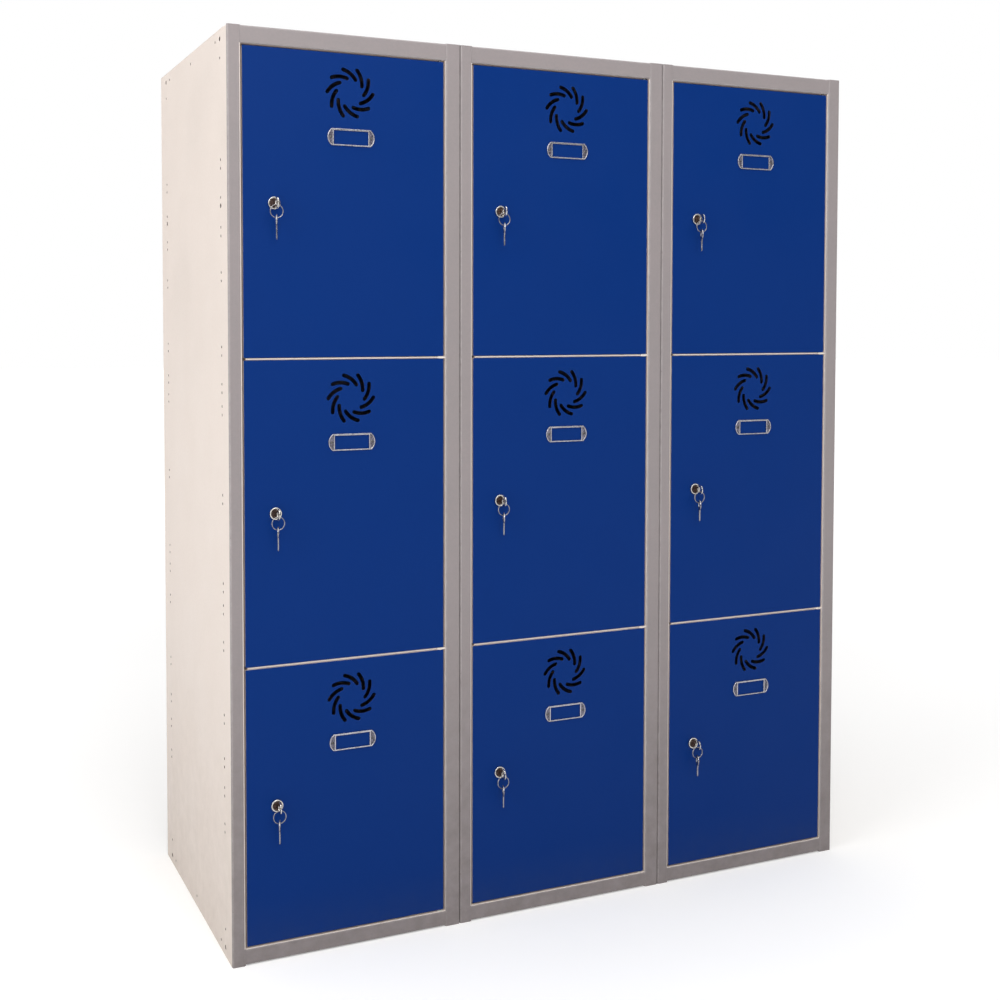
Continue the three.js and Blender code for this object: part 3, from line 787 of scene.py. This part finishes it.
# Every hole as (y, z, radius); a hole of a pair is left out where the upper joining hole takes its place
def holePattern(hand):
    size = sideSizes
    front, back = frontY + size["frontRow"], backY - size["backRow"]
    parts = [(k, count) for count in size["tierCounts"] for k in range(1, count)]
    middles = sorted({round((k / count - 0.5) * size["run"], 1) for k, count in parts})
    shifts = (-size["pairHalf"], size["pairHalf"])
    pairs = [unitHigh / 2 + middle + shift for middle in middles for shift in shifts]
    upper = unitHigh - size["upperJoining"]
    holes = []
    for y, inward in ((front, 1), (back, -1)):
        holes += [(y, z, size["small"]) for z in pairs if abs(z - upper) > size["large"]]
        holes += [(y, unitHigh - size["single"], size["small"]), (y, size["single"], size["small"])]
        for z in (unitHigh - size["joining"], size["joining"]):
            holes += [(y, z, size["large"]), (y + inward * size["beside"], z, size["small"])]
        holes.append((y, upper, size["large"]))
    deep = (frontY + backY) / 2
    if hand < 0:
        holes += [(deep, unitHigh - size["midDepth"], size["small"]), (deep, size["midDepth"], size["small"])]
    return holes


def sideShape(hand):
    size = sideSizes
    outer = hand * halfWide
    front = frontY + frameSizes["edge"] + size["gap"]
    path = [(hand * (halfWide - size["frontFlange"]), front), (outer, front), (outer, backY),
            (hand * (halfWide - size["backFlange"]), backY)]
    outline = foldedOutline(path[::-1] if hand < 0 else path, size["sheet"], size["inside"])
    lengths = [math.dist(outline[i][:2], outline[(i + 1) % len(outline)][:2]) for i in range(len(outline))]
    walls = sorted(range(len(outline)), key=lambda i: -lengths[i])[:2]
    shape, (foot, head) = drawnOut(outline, (0, sideHigh), "z", leaveOut=walls)
    walls.sort(key=lambda i: -abs(outline[i][0]))  # the outer face first
    mouths = {i: [] for i in walls}
    lip = size["rimLip"]
    outward = [(lip, 0.0), (lip * 0.3, lip * 0.3), (0.0, lip)]  # how far a hole opens, and how deep
    depths = outward + [(0.0, size["sheet"] - lip * 0.5), (lip * 0.5, size["sheet"])]
    for y, z, radius in holePattern(hand):
        rings = []
        for grow, deep in depths:
            x = outer - hand * deep
            rings.append(addLoop(shape, [(x, u, v) for u, v in circle((y, z), radius + grow, 14)]))
        bridgeAll(shape, rings[:2])
        bridgeAll(shape, rings[1:], 1)  # the punched edge, in near-black paint that also paints the shade inside the hole
        mouths[walls[0]].append(rings[0])
        mouths[walls[1]].append(rings[-1])
    for i in walls:
        j = (i + 1) % len(outline)
        fillLoop(shape, [foot[i], foot[j], head[j], head[i]], mouths[i], plane=(1, 2))
    ends = (outer - hand * (size["sheet"] + size["flangeGap"]), outer - hand * size["headFlange"])
    near, far = frontY + size["flangeFront"], backY - size["flangeBack"]
    outline = roundedBox((min(ends), near), (max(ends), far), size["flangeCorner"], 2)
    flange = slab(outline, size["sheet"], size["flangeSoft"], steps=2)
    addShape(shape, flange, moved(z=sideHigh - size["sheet"]))
    return addShape(shape, flange)


sideMeshes = {"left": meshOf("sideLeft", sideShape(-1)), "right": meshOf("sideRight", sideShape(1))}
for n in units:
    for hand, mesh in sideMeshes.items():
        addPiece(f"unit{n}_punched_side_{hand}", mesh, (unitX[n], 0, 0), "carcass",
                 [creamPowder, punchedEdgeShade], [f"unit{n}_side_{hand}"])

# The sheets that stay as they come: their edges are softened and they get the powder coat
foldSoftness = {"width": 0.00035, "segments": 2, "angle": 30.0, "weld": 1e-6}
for n in units:
    for part in ("top_panel", "back_panel", "base_panel", "upper_shelf", "lower_shelf"):
        sheet = frame["nodes"][f"unit{n}_{part}"]
        weld = sheet.modifiers.new("weld", "WELD")
        weld.merge_threshold = foldSoftness["weld"]
        bevel = sheet.modifiers.new("softFolds", "BEVEL")
        bevel.width, bevel.segments = foldSoftness["width"], foldSoftness["segments"]
        bevel.limit_method, bevel.angle_limit = "ANGLE", math.radians(foldSoftness["angle"])
        sheet.modifiers.new("weightedNormals", "WEIGHTED_NORMAL")
        for paintSlot in sheet.material_slots:
            paintSlot.link = "OBJECT"
            paintSlot.material = creamPowder


# Bolts and nuts that join neighbouring units through the large holes
boltSizes = {
    "shaft": 2.9, "head": 5.6, "headThick": 3.6, "nutThick": 4.4, "soft": 0.5, "tail": 2.5, "tailSoft": 0.4,
    "headTurn": 0.3, "nutTurn": 0.8,
}


# A bolt along X, between two side panels
def boltShape(y, z):
    size = boltSizes
    seam = unitX[2] - unitX[1] - 2 * halfWide
    left, right = -seam / 2 - sideSizes["sheet"], seam / 2 + sideSizes["sheet"]
    along = Matrix(((0, 0, 1, 0), (1, 0, 0, y), (0, 1, 0, z), (0, 0, 0, 1)))
    head = slab(circle((0, 0), size["head"], 6, size["headTurn"]), size["headThick"], size["soft"])
    nut = slab(circle((0, 0), size["head"], 6, size["nutTurn"]), size["nutThick"], size["soft"])
    shaftLong = right - left + size["nutThick"] + size["tail"]
    shaft = slab(circle((0, 0), size["shaft"], 20), shaftLong, size["tailSoft"])
    shape = turned(head, moved(left - size["headThick"]) @ along)
    addShape(shape, nut, moved(right) @ along)
    return addShape(shape, shaft, moved(left) @ along)


bolts = newShape()
for y in (frontY + sideSizes["frontRow"], backY - sideSizes["backRow"]):
    addShape(bolts, boltShape(y, unitHigh - sideSizes["joining"]))
    addShape(bolts, boltShape(y, unitHigh - sideSizes["upperJoining"]))
boltMesh = meshOf("bolts", bolts)
for left, right in zip(units, units[1:]):
    addPiece(f"joining_bolts_{left}_{right}", boltMesh, ((unitX[left] + unitX[right]) / 2, 0, 0), "carcass",
             [zincPlate])
print("side panels made")


# Doors

doorSizes = {
    "sheet": 1.0, "depth": 18.0, "lip": 10.0, "lipEdge": 0.25, "bend": 1.4, "insideBend": 0.4, "corner": 1.5,
    "leastCorner": 0.15, "pinHole": 3.35, "pivot": 5.0, "lockInset": 50.0, "lockHole": 8.3,
}
ventSizes = {
    "slots": 10, "outer": 39.0, "inner": 23.7, "sweep": 41.0, "bow": 36.0, "width": 6.2, "drop": 63.0,
    "offset": 7.0, "lip": 0.4,
}


# One curved slot of the vent, turned about the middle of the ring
def slotOutline(turn):
    size = ventSizes
    half = size["width"] / 2
    outer = Vector((math.cos(turn), math.sin(turn))) * size["outer"]
    innerAngle = turn - math.radians(size["sweep"])
    inner = Vector((math.cos(innerAngle), math.sin(innerAngle))) * size["inner"]
    chord = inner - outer
    rise = math.sqrt(size["bow"] ** 2 - (chord.length / 2) ** 2)
    centre = (outer + inner) / 2 + Vector((chord.y, -chord.x)) / chord.length * rise
    start = math.atan2(outer.y - centre.y, outer.x - centre.x)
    end = start - 2 * math.asin(chord.length / 2 / size["bow"])
    outside = arc(centre, size["bow"] + half, start, end, 12)
    innerTip = arc(inner, half, end, end - math.pi, 6)[1:-1]
    inside = arc(centre, size["bow"] - half, end, start, 12)
    outerTip = arc(outer, half, start + math.pi, start, 6)[1:-1]
    loop = outside + innerTip + inside + outerTip
    area = sum(a[0] * b[1] - b[0] * a[1] for a, b in zip(loop, loop[1:] + loop[:1]))
    return loop if area > 0 else loop[::-1]


def doorShape(width, height):
    size = doorSizes
    half, deep, t = width / 2, size["depth"], size["sheet"]
    bend, inside, lip, soft = size["bend"], size["insideBend"], size["lip"], size["lipEdge"]
    folds = [(1 - math.sin(a), 1 - math.cos(a), math.sin(2 * a)) for a in quarterTurn(5)]
    shape = newShape()

    # A ring round the door, so far in from its edge and so deep
    def level(step, y, wear=0.0):
        radius = max(size["corner"] - step, size["leastCorner"])
        loop = roundedBox((step - half, step), (half - step, height - step), radius)
        return addLoop(shape, [(u, y, v) for u, v in loop], wear)

    face = [level(bend * first, bend * then, wear) for first, then, wear in folds]
    rear = [level(bend * then, deep - bend * first, wear) for first, then, wear in folds]
    lipOutside = [level(lip - soft, deep), level(lip, deep - soft, 1)]
    lipInside = [level(lip, deep - t + soft, 1), level(lip - soft, deep - t)]
    innerRear = [level(t + inside * first, deep - t - inside * then) for first, then, _ in folds]
    innerFace = [level(t + inside * then, t + inside * first) for first, then, _ in folds]
    corner = len(face[0]) // 4 - 1
    foot, head = corner, 3 * corner + 2  # the bottom and the top wall of a ring
    bridgeAll(shape, face)
    bridge(shape, face[-1], rear[0], 1, (foot, head))
    bridgeAll(shape, rear + lipOutside + lipInside + innerRear, 1)
    bridge(shape, innerRear[-1], innerFace[0], 1, (foot, head))
    bridgeAll(shape, innerFace, 1)
    for wall, z, inward in ((foot, 0.0, 1), (head, height, -1)):
        hole = circle((half - size["pivot"], size["pivot"]), size["pinHole"], 20)
        rims = [addLoop(shape, [(u, v, z + inward * step) for u, v in hole]) for step in (0.0, t)]
        bridge(shape, *rims, 1)
        for rim, first, second in ((rims[0], face[-1], rear[0]), (rims[1], innerRear[-1], innerFace[0])):
            loop = [first[wall], first[wall + 1], second[wall + 1], second[wall]]
            fillLoop(shape, loop, [rim], plane=(0, 1), paint=1)

    holes = [circle((size["lockInset"] - half, height / 2), size["lockHole"], 32)]
    ventAt = Vector((ventSizes["offset"], height - ventSizes["drop"]))
    for i in range(ventSizes["slots"]):
        turn = 2 * math.pi * i / ventSizes["slots"]
        holes.append([tuple(Vector(point) + ventAt) for point in slotOutline(turn)])
    fronts, backs = [], []
    rim = ventSizes["lip"]
    for hole in holes:
        rings = []
        for grow, y, wear in ((rim, 0.0, 0.0), (rim * 0.3, rim * 0.3, 0.7), (0.0, rim, 0.0), (0.0, t, 0.0)):
            rings.append(addLoop(shape, [(u, y, v) for u, v in insetLoop(hole, -grow)], wear))
        bridgeAll(shape, rings[:3])
        # the slot's wall in near-black paint: painted shade inside the vent
        bridge(shape, *rings[2:], 2)
        fronts.append(rings[0])
        backs.append(rings[-1])
    fillLoop(shape, face[0], fronts, plane=(0, 2))
    fillLoop(shape, innerFace[-1], backs, plane=(0, 2), paint=1)
    return shape


# Label holders: a bright rim round an open window, with a dark ribbed end on either side
holderSizes = {
    "straight": 33.4, "half": 13.75, "bulge": 7.1, "thick": 2.4, "soft": 0.8, "drop": 135.0, "offset": 8.0,
    "sunk": 0.02, "window": ((-29.6, -11.6), (29.6, 10.8)), "windowCorner": 0.8, "endStart": 31.8,
    "endHalf": 11.6, "endRim": 1.9, "endThick": 1.1, "endSoft": 0.25, "endClear": 0.08, "rivet": 2.1,
    "rivetAt": 34.9, "dome": 1.1, "ribs": 5, "ribPitch": 4.1, "ribHalf": 0.55, "ribHigh": 0.5, "ribEnd": 0.6,
    "ribCorner": 0.5, "ribSoft": 0.24,
}


def holderShapes():
    size = holderSizes
    radius = (size["half"] ** 2 + size["bulge"] ** 2) / (2 * size["bulge"])
    centre = size["straight"] + size["bulge"] - radius
    swing = math.asin(size["half"] / radius)
    rightBow = arc((centre, 0), radius, -swing, swing, 14)
    leftBow = arc((-centre, 0), radius, math.pi - swing, math.pi + swing, 14)
    inner = radius - size["endRim"]
    lean = math.asin(size["endHalf"] / inner)
    start = size["endStart"]
    end = [(start, -size["endHalf"]), *arc((centre, 0), inner, -lean, lean, 10), (start, size["endHalf"])]
    other = [(-u, v) for u, v in end[::-1]]
    window = roundedBox(*size["window"], size["windowCorner"])
    rim = slab(rightBow + leftBow, size["thick"], size["soft"], [window, end, other], steps=5)
    inserts, rivets = newShape(), newShape()
    r, thick = size["rivet"], size["endThick"]
    for loop, hand in ((end, 1), (other, -1)):
        addShape(inserts, slab(insetLoop(loop, size["endClear"]), thick, size["endSoft"]))
        for i in range(size["ribs"]):
            z = (i - (size["ribs"] - 1) / 2) * size["ribPitch"]
            tip = centre + math.sqrt(inner ** 2 - z ** 2)
            left, right = sorted((hand * (start + size["ribEnd"]), hand * (tip - size["ribEnd"])))
            low, high = z - size["ribHalf"], z + size["ribHalf"]
            if abs(z) > r + size["ribHalf"]:  # the middle one would run under the rivet
                rib = roundedBox((left, low), (right, high), size["ribCorner"], 3)
                addShape(inserts, slab(rib, size["ribHigh"], size["ribSoft"]), moved(z=thick - size["sunk"]))
        dome = [(r * math.cos(a), -thick - size["dome"] * math.sin(a), 0.6) for a in quarterTurn(6)[:-1]]
        button = lathe([(0, 0.0), (r, 0.0), *dome, (0, -thick - size["dome"])], 24, False)
        addShape(rivets, button, moved(hand * size["rivetAt"]))
    return turned(rim, facingFront), turned(inserts, facingFront), rivets


doorMeshes = {}
for tier in ("top", "bottom"):
    low, high = doorBoxes[tier]
    doorMeshes[tier] = meshOf(f"{tier}Door", doorShape(high.x - low.x, high.z - low.z))
doorMeshes["middle"] = doorMeshes["top"]
rimMesh, endMesh, rivetMesh = (meshOf("holder", shape) for shape in holderShapes())
for n in units:
    for tier in tiers:
        low, high = corners(f"unit{n}_{tier}_door")
        middle, body = (low.x + high.x) / 2, f"door_{n}_{tier}"
        addPiece(f"unit{n}_{tier}_door_pan", doorMeshes[tier], (middle, low.y, low.z), body,
                 [bluePaint, creamPowder, punchedEdgeShade], [f"unit{n}_{tier}_door"])
        at = (middle + holderSizes["offset"], low.y - holderSizes["sunk"], high.z - holderSizes["drop"])
        holder = f"unit{n}_{tier}_label_holder"
        addPiece(holder, rimMesh, at, body, [satinSilver])
        addPiece(f"{holder}_ends", endMesh, at, body, [smokedPlastic])
        addPiece(f"{holder}_rivets", rivetMesh, at, body, [darkSteel])
print("doors made")


# Locks, drawn about their own axis with y = 0 at the face of the door

def ringAt(shape, radius, y, sides, wear=0.0):
    return addLoop(shape, [(u, y, v) for u, v in circle((0, 0), radius, sides)], wear)


bezelSizes = {
    "radius": 10.0, "front": 5.0, "back": 0.25, "rimRound": 0.9, "rimInside": 0.45, "dish": 8.05,
    "dishDeep": 1.5, "bore": 6.6,
}


def bezelShape():
    size = bezelSizes
    front, back, floor = -size["front"], -size["back"], size["dishDeep"] - size["front"]
    outer, dish, bore, r, c = (size[k] for k in ("radius", "dish", "bore", "rimRound", "rimInside"))
    quarter = quarterTurn(6)
    rim = [(outer - r + r * math.cos(a), front + r - r * math.sin(a), math.sin(a)) for a in quarter]
    inner = [(dish + c - c * math.sin(a), front + c - c * math.cos(a), 0.4) for a in quarter]
    return lathe([(outer, back), *rim, *inner, (dish, floor), (bore, floor), (bore, back)], 56)


# The barrel's thread is cut off flat on two sides
barrelSizes = {
    "radius": 8.0, "start": -0.2, "end": 20.0, "thread": 0.55, "pitch": 1.25, "rowsToPitch": 5,
    "flat": 6.9, "taper": 0.5, "taperRows": 6,
}


def barrelShape():
    size = barrelSizes
    shape = newShape()
    start, end, sides = size["start"], size["end"], 40
    rows = round(end / size["pitch"] * size["rowsToPitch"])
    rings = []
    for i in range(rows + 1):
        y = start + (end - start) * i / rows
        taper = size["taper"] * (1 - min(1.0, (rows - i) / size["taperRows"]))
        points = []
        for k in range(sides):
            phase = (y / size["pitch"] - k / sides) % 1.0
            r = size["radius"] - size["thread"] * (2 * abs(phase - 0.5)) - taper
            a = 2 * math.pi * k / sides
            x = max(-size["flat"], min(size["flat"], r * math.cos(a)))
            points.append((x, y, r * math.sin(a)))
        rings.append(addLoop(shape, points))
    inner = [ringAt(shape, bezelSizes["bore"], y, sides) for y in (end, start)]
    bridgeAll(shape, rings + inner + [rings[0]])
    return shape


nutSizes = {"radius": 12.0, "thick": 4.0, "behindFace": 1.3, "soft": 0.6, "play": 0.05}


def nutShape():
    size = nutSizes
    hexagon = circle((0, 0), size["radius"], 6, math.pi / 6)
    hole = circle((0, 0), barrelSizes["radius"] + size["play"], 36)
    nut = slab(hexagon, size["thick"], size["soft"], [hole])
    return turned(nut, moved(y=size["behindFace"]) @ facingBack)


# The plug: a disc with the keyway in it, in front of the round plug that carries the cam
plugSizes = {
    "face": 7.7, "faceRound": 0.5, "faceFront": 4.6, "faceBack": 3.6, "radius": 6.3, "camGap": 0.1,
    "keyway": (2.3, 7.4), "keywayCorner": 0.5, "keywayMouth": (0.2, 0.25), "keywayDeep": 7.0,
}
camSizes = {"wide": 14.0, "long": 66.0, "thick": 2.0, "soft": 0.3, "behindFace": 25.0}
screwSizes = {
    "radius": 4.5, "high": 2.0, "soft": 0.35, "seat": 0.02, "washer": 5.4, "washerThick": 0.5,
    "washerSoft": 0.12,
}


def plugShape():
    size = plugSizes
    across, tall = size["keyway"]
    front, back, end = -size["faceFront"], -size["faceBack"], camSizes["behindFace"] - size["camGap"]
    face, r, sides = size["face"], size["faceRound"], 48
    shape = newShape()
    rings = []
    for a in quarterTurn(4):
        step, y = r * (1 - math.sin(a)), front + r * (1 - math.cos(a))
        rings.append(ringAt(shape, face - step, y, sides, math.sin(a)))
    for radius, y in ((face, back), (size["radius"], back), (size["radius"], end)):
        rings.append(ringAt(shape, radius, y, sides))
    bridgeAll(shape, rings)
    fillLoop(shape, rings[-1], plane=(0, 2))
    slot = roundedBox((-across / 2, -tall / 2), (across / 2, tall / 2), size["keywayCorner"], 3)
    opens, narrows = size["keywayMouth"]
    mouth = addLoop(shape, [(u, front, v) for u, v in insetLoop(slot, -opens)], 1)
    throat = addLoop(shape, [(u, front + narrows, v) for u, v in slot])
    floor = addLoop(shape, [(u, front + size["keywayDeep"], v) for u, v in slot])
    bridgeAll(shape, [mouth, throat, floor])
    fillLoop(shape, floor, plane=(0, 2))
    fillLoop(shape, rings[0], [mouth], plane=(0, 2))
    return shape


def camShape():
    size = camSizes
    r = size["wide"] / 2
    outline = arc((0, 0), r, 0, math.pi, 14) + arc((0, r - size["long"]), r, math.pi, 2 * math.pi, 14)
    cam = slab(outline, size["thick"], size["soft"])
    return turned(cam, moved(y=size["behindFace"]) @ facingBack)


# The screw that holds the cam, with its washer
def camScrewShape():
    size = screwSizes
    washer = slab(circle((0, 0), size["washer"], 32), size["washerThick"], size["washerSoft"], steps=2)
    hexagon = slab(circle((0, 0), size["radius"], 6, math.pi / 6), size["high"], size["soft"])
    rear = camSizes["behindFace"] + camSizes["thick"] + size["seat"]
    screw = turned(washer, moved(y=rear) @ facingBack)
    return addShape(screw, hexagon, moved(y=rear + size["washerThick"]) @ facingBack)


keySizes = {
    "thick": 1.8, "bow": 9.5, "eye": 4.5, "neckLong": 3.4, "neck": 8.0, "neckCorner": 0.6, "blade": 6.5,
    "bladeLong": 17.5, "soft": 0.32, "insert": 6.0, "tipLong": 2.2, "tipHalf": 0.6,
    "teeth": (0.9, 1.9, 1.2, 2.1, 0.7, 1.6), "teethStart": 2.4, "teethEnd": 2.6, "teethGap": 0.6,
    "groove": 1.2, "grooveDeep": 0.4, "grooveInset": 1.1, "grooveStart": 3.0, "grooveEnd": 1.5,
    "grooveCorner": 0.4,
}


# A key with its bow about the origin and its blade along -v
def keyShape(long, toothed):
    size = keySizes
    bow, neck, blade, c = size["bow"], size["neck"] / 2, size["blade"] / 2, size["neckCorner"]
    start = math.asin(neck / bow) - math.pi / 2
    outline = arc((0, 0), bow, start, math.pi - start, 40)
    shoulder, tip = -bow - size["neckLong"], -bow - size["neckLong"] - long
    outline += [(-neck, shoulder + c), (-neck + c, shoulder), (-blade, shoulder)]
    pockets = []
    if toothed:
        outline += [(-blade, tip + size["tipLong"]), (-size["tipHalf"], tip), (size["tipHalf"], tip)]
        first, last = tip + size["teethStart"], shoulder - size["teethEnd"]
        pitch = (last - first) / len(size["teeth"])
        for i, cut in enumerate(size["teeth"]):
            v, deep = first + pitch * i, blade - cut
            outline += [(blade - cut * 0.35, v), (deep, v + pitch * 0.35), (deep, v + pitch * 0.6)]
        outline.append((blade, last + size["teethGap"]))
        side = size["grooveInset"] - blade
        low, high = tip + size["grooveStart"], shoulder + size["grooveEnd"]
        pockets = [roundedBox((side, low), (side + size["groove"], high), size["grooveCorner"], 2)]
    else:
        outline += [(-blade, tip), (blade, tip)]
    outline += [(blade, shoulder), (neck - c, shoulder), (neck, shoulder + c)]
    eye = circle((0, 0), size["eye"], 36)
    return slab(outline, size["thick"], size["soft"], [eye], pockets, size["grooveDeep"])


ringSizes = {
    "radius": 10.4, "wireAcross": 0.62, "wireAlong": 0.36, "coil": 0.375, "start": 15.0, "swing": 30.0,
    "crossing": 130.0, "steps": 150,
}


# Two flattened coils that cross over on one side
def splitRing():
    size = ringSizes
    shape = newShape()
    first, last = size["start"], 720.0 - size["start"]
    rings = []
    for i in range(size["steps"] + 1):
        angle = first + (last - first) * i / size["steps"]
        ease = min(1.0, max(0.0, (angle - 360 + size["swing"] / 2) / size["swing"]))
        y = size["coil"] * (2 * ease * ease * (3 - 2 * ease) - 1)
        a = math.radians(angle + size["crossing"])
        points = []
        for u, v in circle((0, 0), 1.0, 10):
            r = size["radius"] + size["wireAcross"] * u
            points.append((r * math.cos(a), y + size["wireAlong"] * v, r * math.sin(a)))
        rings.append(addLoop(shape, points))
    bridgeAll(shape, rings)
    addFace(shape, rings[0])
    addFace(shape, rings[-1][::-1])
    return shape


# The ring hangs in the eye of the key in the lock, and the spare key in the ring
hang = {"ringTop": 0.3, "wire": 0.75, "bite": 0.2, "spareTurn": 20.0}
bowY = corners("unit1_top_lock_plug")[0].y + keySizes["bow"] - doorBoxes["top"][0].y
ringZ = hang["ringTop"] - keySizes["eye"] + hang["wire"] - ringSizes["radius"]
spareZ = ringZ - ringSizes["radius"] + hang["wire"] - hang["bite"] - keySizes["eye"]

halfThick = keySizes["thick"] / 2
inLock = Matrix(((0, 0, 1, -halfThick), (0, -1, 0, bowY), (1, 0, 0, 0), (0, 0, 0, 1)))
hanging = Matrix(((0, 0, 1, -halfThick), (1, 0, 0, 0), (0, 1, 0, 0), (0, 0, 0, 1)))
spareTurn = Matrix.Rotation(-math.radians(hang["spareTurn"]), 4, "Z")
keyInLock = turned(keyShape(keySizes["insert"], False), inLock)
spareKey = turned(keyShape(keySizes["bladeLong"], True), moved(0, bowY, spareZ) @ spareTurn @ hanging)

# Each lock part: its shape, its finish, the body it rides on, its slot and the solid it stands for
lockParts = {
    "lock_bezel": (bezelShape(), nickelPlate, "door", "nickel_plate", "lock_body"),
    "lock_barrel": (barrelShape(), zincPlate, "door", "nickel_plate", "lock_body"),
    "lock_nut": (nutShape(), zincPlate, "door", "nickel_plate", "lock_body"),
    "lock_core": (plugShape(), darkPlug, "lock", "nickel_plate", "lock_plug"),
    "lock_cam": (camShape(), zincPlate, "lock", "nickel_plate", "lock_plug"),
    "lock_cam_screw": (camScrewShape(), zincPlate, "lock", "nickel_plate", "lock_plug"),
    "key": (keyInLock, nickelPlate, "lock", "nickel_plate", "lock_plug"),
    "split_ring": (turned(splitRing(), moved(0, bowY, ringZ)), keySteel, "keys", "key_steel", "key_ring"),
    "spare_key": (spareKey, keySteel, "keys", "key_steel", "key_ring"),
}
lockMeshes = {name: meshOf(name, part[0]) for name, part in lockParts.items()}
for n in units:
    for tier in tiers:
        low, high = corners(f"unit{n}_{tier}_lock_body")
        at = ((low.x + high.x) / 2, corners(f"unit{n}_{tier}_door")[0].y, (low.z + high.z) / 2)
        for name, (_, finish, rides, slot, solid) in lockParts.items():
            addPiece(f"unit{n}_{tier}_{name}", lockMeshes[name], at, f"{rides}_{n}_{tier}", [finish],
                     [f"unit{n}_{tier}_{solid}"])
print("locks made")


# Camera, light and floor

cameraSizes = {
    "place": (-1.1188, -2.2602, 1.0291), "yaw": 0.4108, "pitch": 0.0411, "lens": 47.24, "sensor": 36.0,
    "shift": (0.06, -0.12), "farthest": 60.0,
}
cameraData = bpy.data.cameras.new("camera")
cameraData.lens, cameraData.sensor_width = cameraSizes["lens"], cameraSizes["sensor"]
cameraData.shift_x, cameraData.shift_y = cameraSizes["shift"]
cameraData.clip_end = cameraSizes["farthest"]
camera = bpy.data.objects.new("camera", cameraData)
camera.location = cameraSizes["place"]
camera.rotation_euler = (math.pi / 2 - cameraSizes["pitch"], 0, -cameraSizes["yaw"])
bpy.context.scene.collection.objects.link(camera)
bpy.context.scene.camera = camera

lights = {
    "leftWindow": {"place": (-3.4, -0.9, 2.1), "aim": (-0.6, 0.0, 0.75), "size": (2.6, 2.2), "power": 46.0},
    "frontSoft": {"place": (-1.0, -3.5, 3.1), "aim": (0.0, -0.2, 1.1), "size": (3.0, 2.0), "power": 78.0},
    "overhead": {"place": (0.2, -0.4, 4.2), "aim": (0.0, 0.0, 0.0), "size": (3.2, 3.2), "power": 60.0},
}
for name, look in lights.items():
    data = bpy.data.lights.new(name, "AREA")
    data.shape, data.size, data.size_y = "RECTANGLE", *look["size"]
    data.energy = look["power"]
    lamp = bpy.data.objects.new(name, data)
    lamp.location = look["place"]
    aim = Vector(look["aim"]) - Vector(look["place"])
    lamp.rotation_euler = aim.to_track_quat("-Z", "Y").to_euler()
    bpy.context.scene.collection.objects.link(lamp)

# The studio: white behind the cabinet, softer as light, and darkest near eye level in what the metal mirrors
skyLook = {"seen": 1.0, "given": 0.34, "mirroredLow": 0.10, "mirroredHigh": 0.75, "highFrom": 0.7}
sky = bpy.data.worlds.new("studio")
bpy.context.scene.world = sky
sky.use_nodes = True
skyTree = sky.node_tree
skyTree.nodes.clear()
rays = put(skyTree, "ShaderNodeLightPath").outputs
around = put(skyTree, "ShaderNodeTexCoord").outputs["Generated"]
upward = put(skyTree, "ShaderNodeSeparateXYZ", {0: around}).outputs["Z"]
mirrored = rangeOf(skyTree, upward, 0.0, skyLook["highFrom"], skyLook["mirroredLow"], skyLook["mirroredHigh"])
given = put(skyTree, "ShaderNodeMix", {0: rays["Is Glossy Ray"], 2: skyLook["given"], 3: mirrored}).outputs[0]
strength = put(skyTree, "ShaderNodeMix", {0: rays["Is Camera Ray"], 2: given, 3: skyLook["seen"]}).outputs[0]
glow = put(skyTree, "ShaderNodeBackground", {"Color": (1, 1, 1, 1), "Strength": strength})
put(skyTree, "ShaderNodeOutputWorld", {"Surface": glow.outputs[0]})

# The floor is lit a little from within, more so further off, and fades into the white behind
floorLook = {
    "color": (0.93, 0.925, 0.92, 1), "deep": (0.90, 0.895, 0.89, 1), "half": 30.0, "near": 0.4, "far": 5.0,
    "lit": (0.0, 0.6), "seen": 0.19,
}


def makePaleFloor():
    look = floorLook
    matt = {"Roughness": 0.7, "Specular IOR Level": 0.2, "Emission Strength": 1.0}
    finish, tree, shader, where = newFinish("paleFloor", matt)
    tone = mixOf(tree, noiseOf(tree, where, 0.6, 5, 0.6), look["deep"], look["color"])
    tree.links.new(tone, shader.inputs["Base Color"])
    away = put(tree, "ShaderNodeVectorMath", {0: where}, operation="LENGTH").outputs["Value"]
    lit = rangeOf(tree, away, look["near"], look["far"], *look["lit"])
    seen = put(tree, "ShaderNodeLightPath").outputs["Is Camera Ray"]
    lit = mathOf(tree, "ADD", lit, mathOf(tree, "MULTIPLY", seen, look["seen"]))
    glowing = put(tree, "ShaderNodeCombineColor", {0: lit, 1: lit, 2: lit}).outputs[0]
    tree.links.new(glowing, shader.inputs["Emission Color"])
    return finish


floorMesh = bpy.data.meshes.new("floor")
h = floorLook["half"]
floorMesh.from_pydata([(-h, -h, 0), (h, -h, 0), (h, h, 0), (-h, h, 0)], [], [(0, 1, 2, 3)])
floorMesh.materials.append(makePaleFloor())
floor = bpy.data.objects.new("floor", floorMesh)
bpy.context.scene.collection.objects.link(floor)

bpy.context.scene.view_settings.view_transform = "Standard"
print("camera, light and floor made")
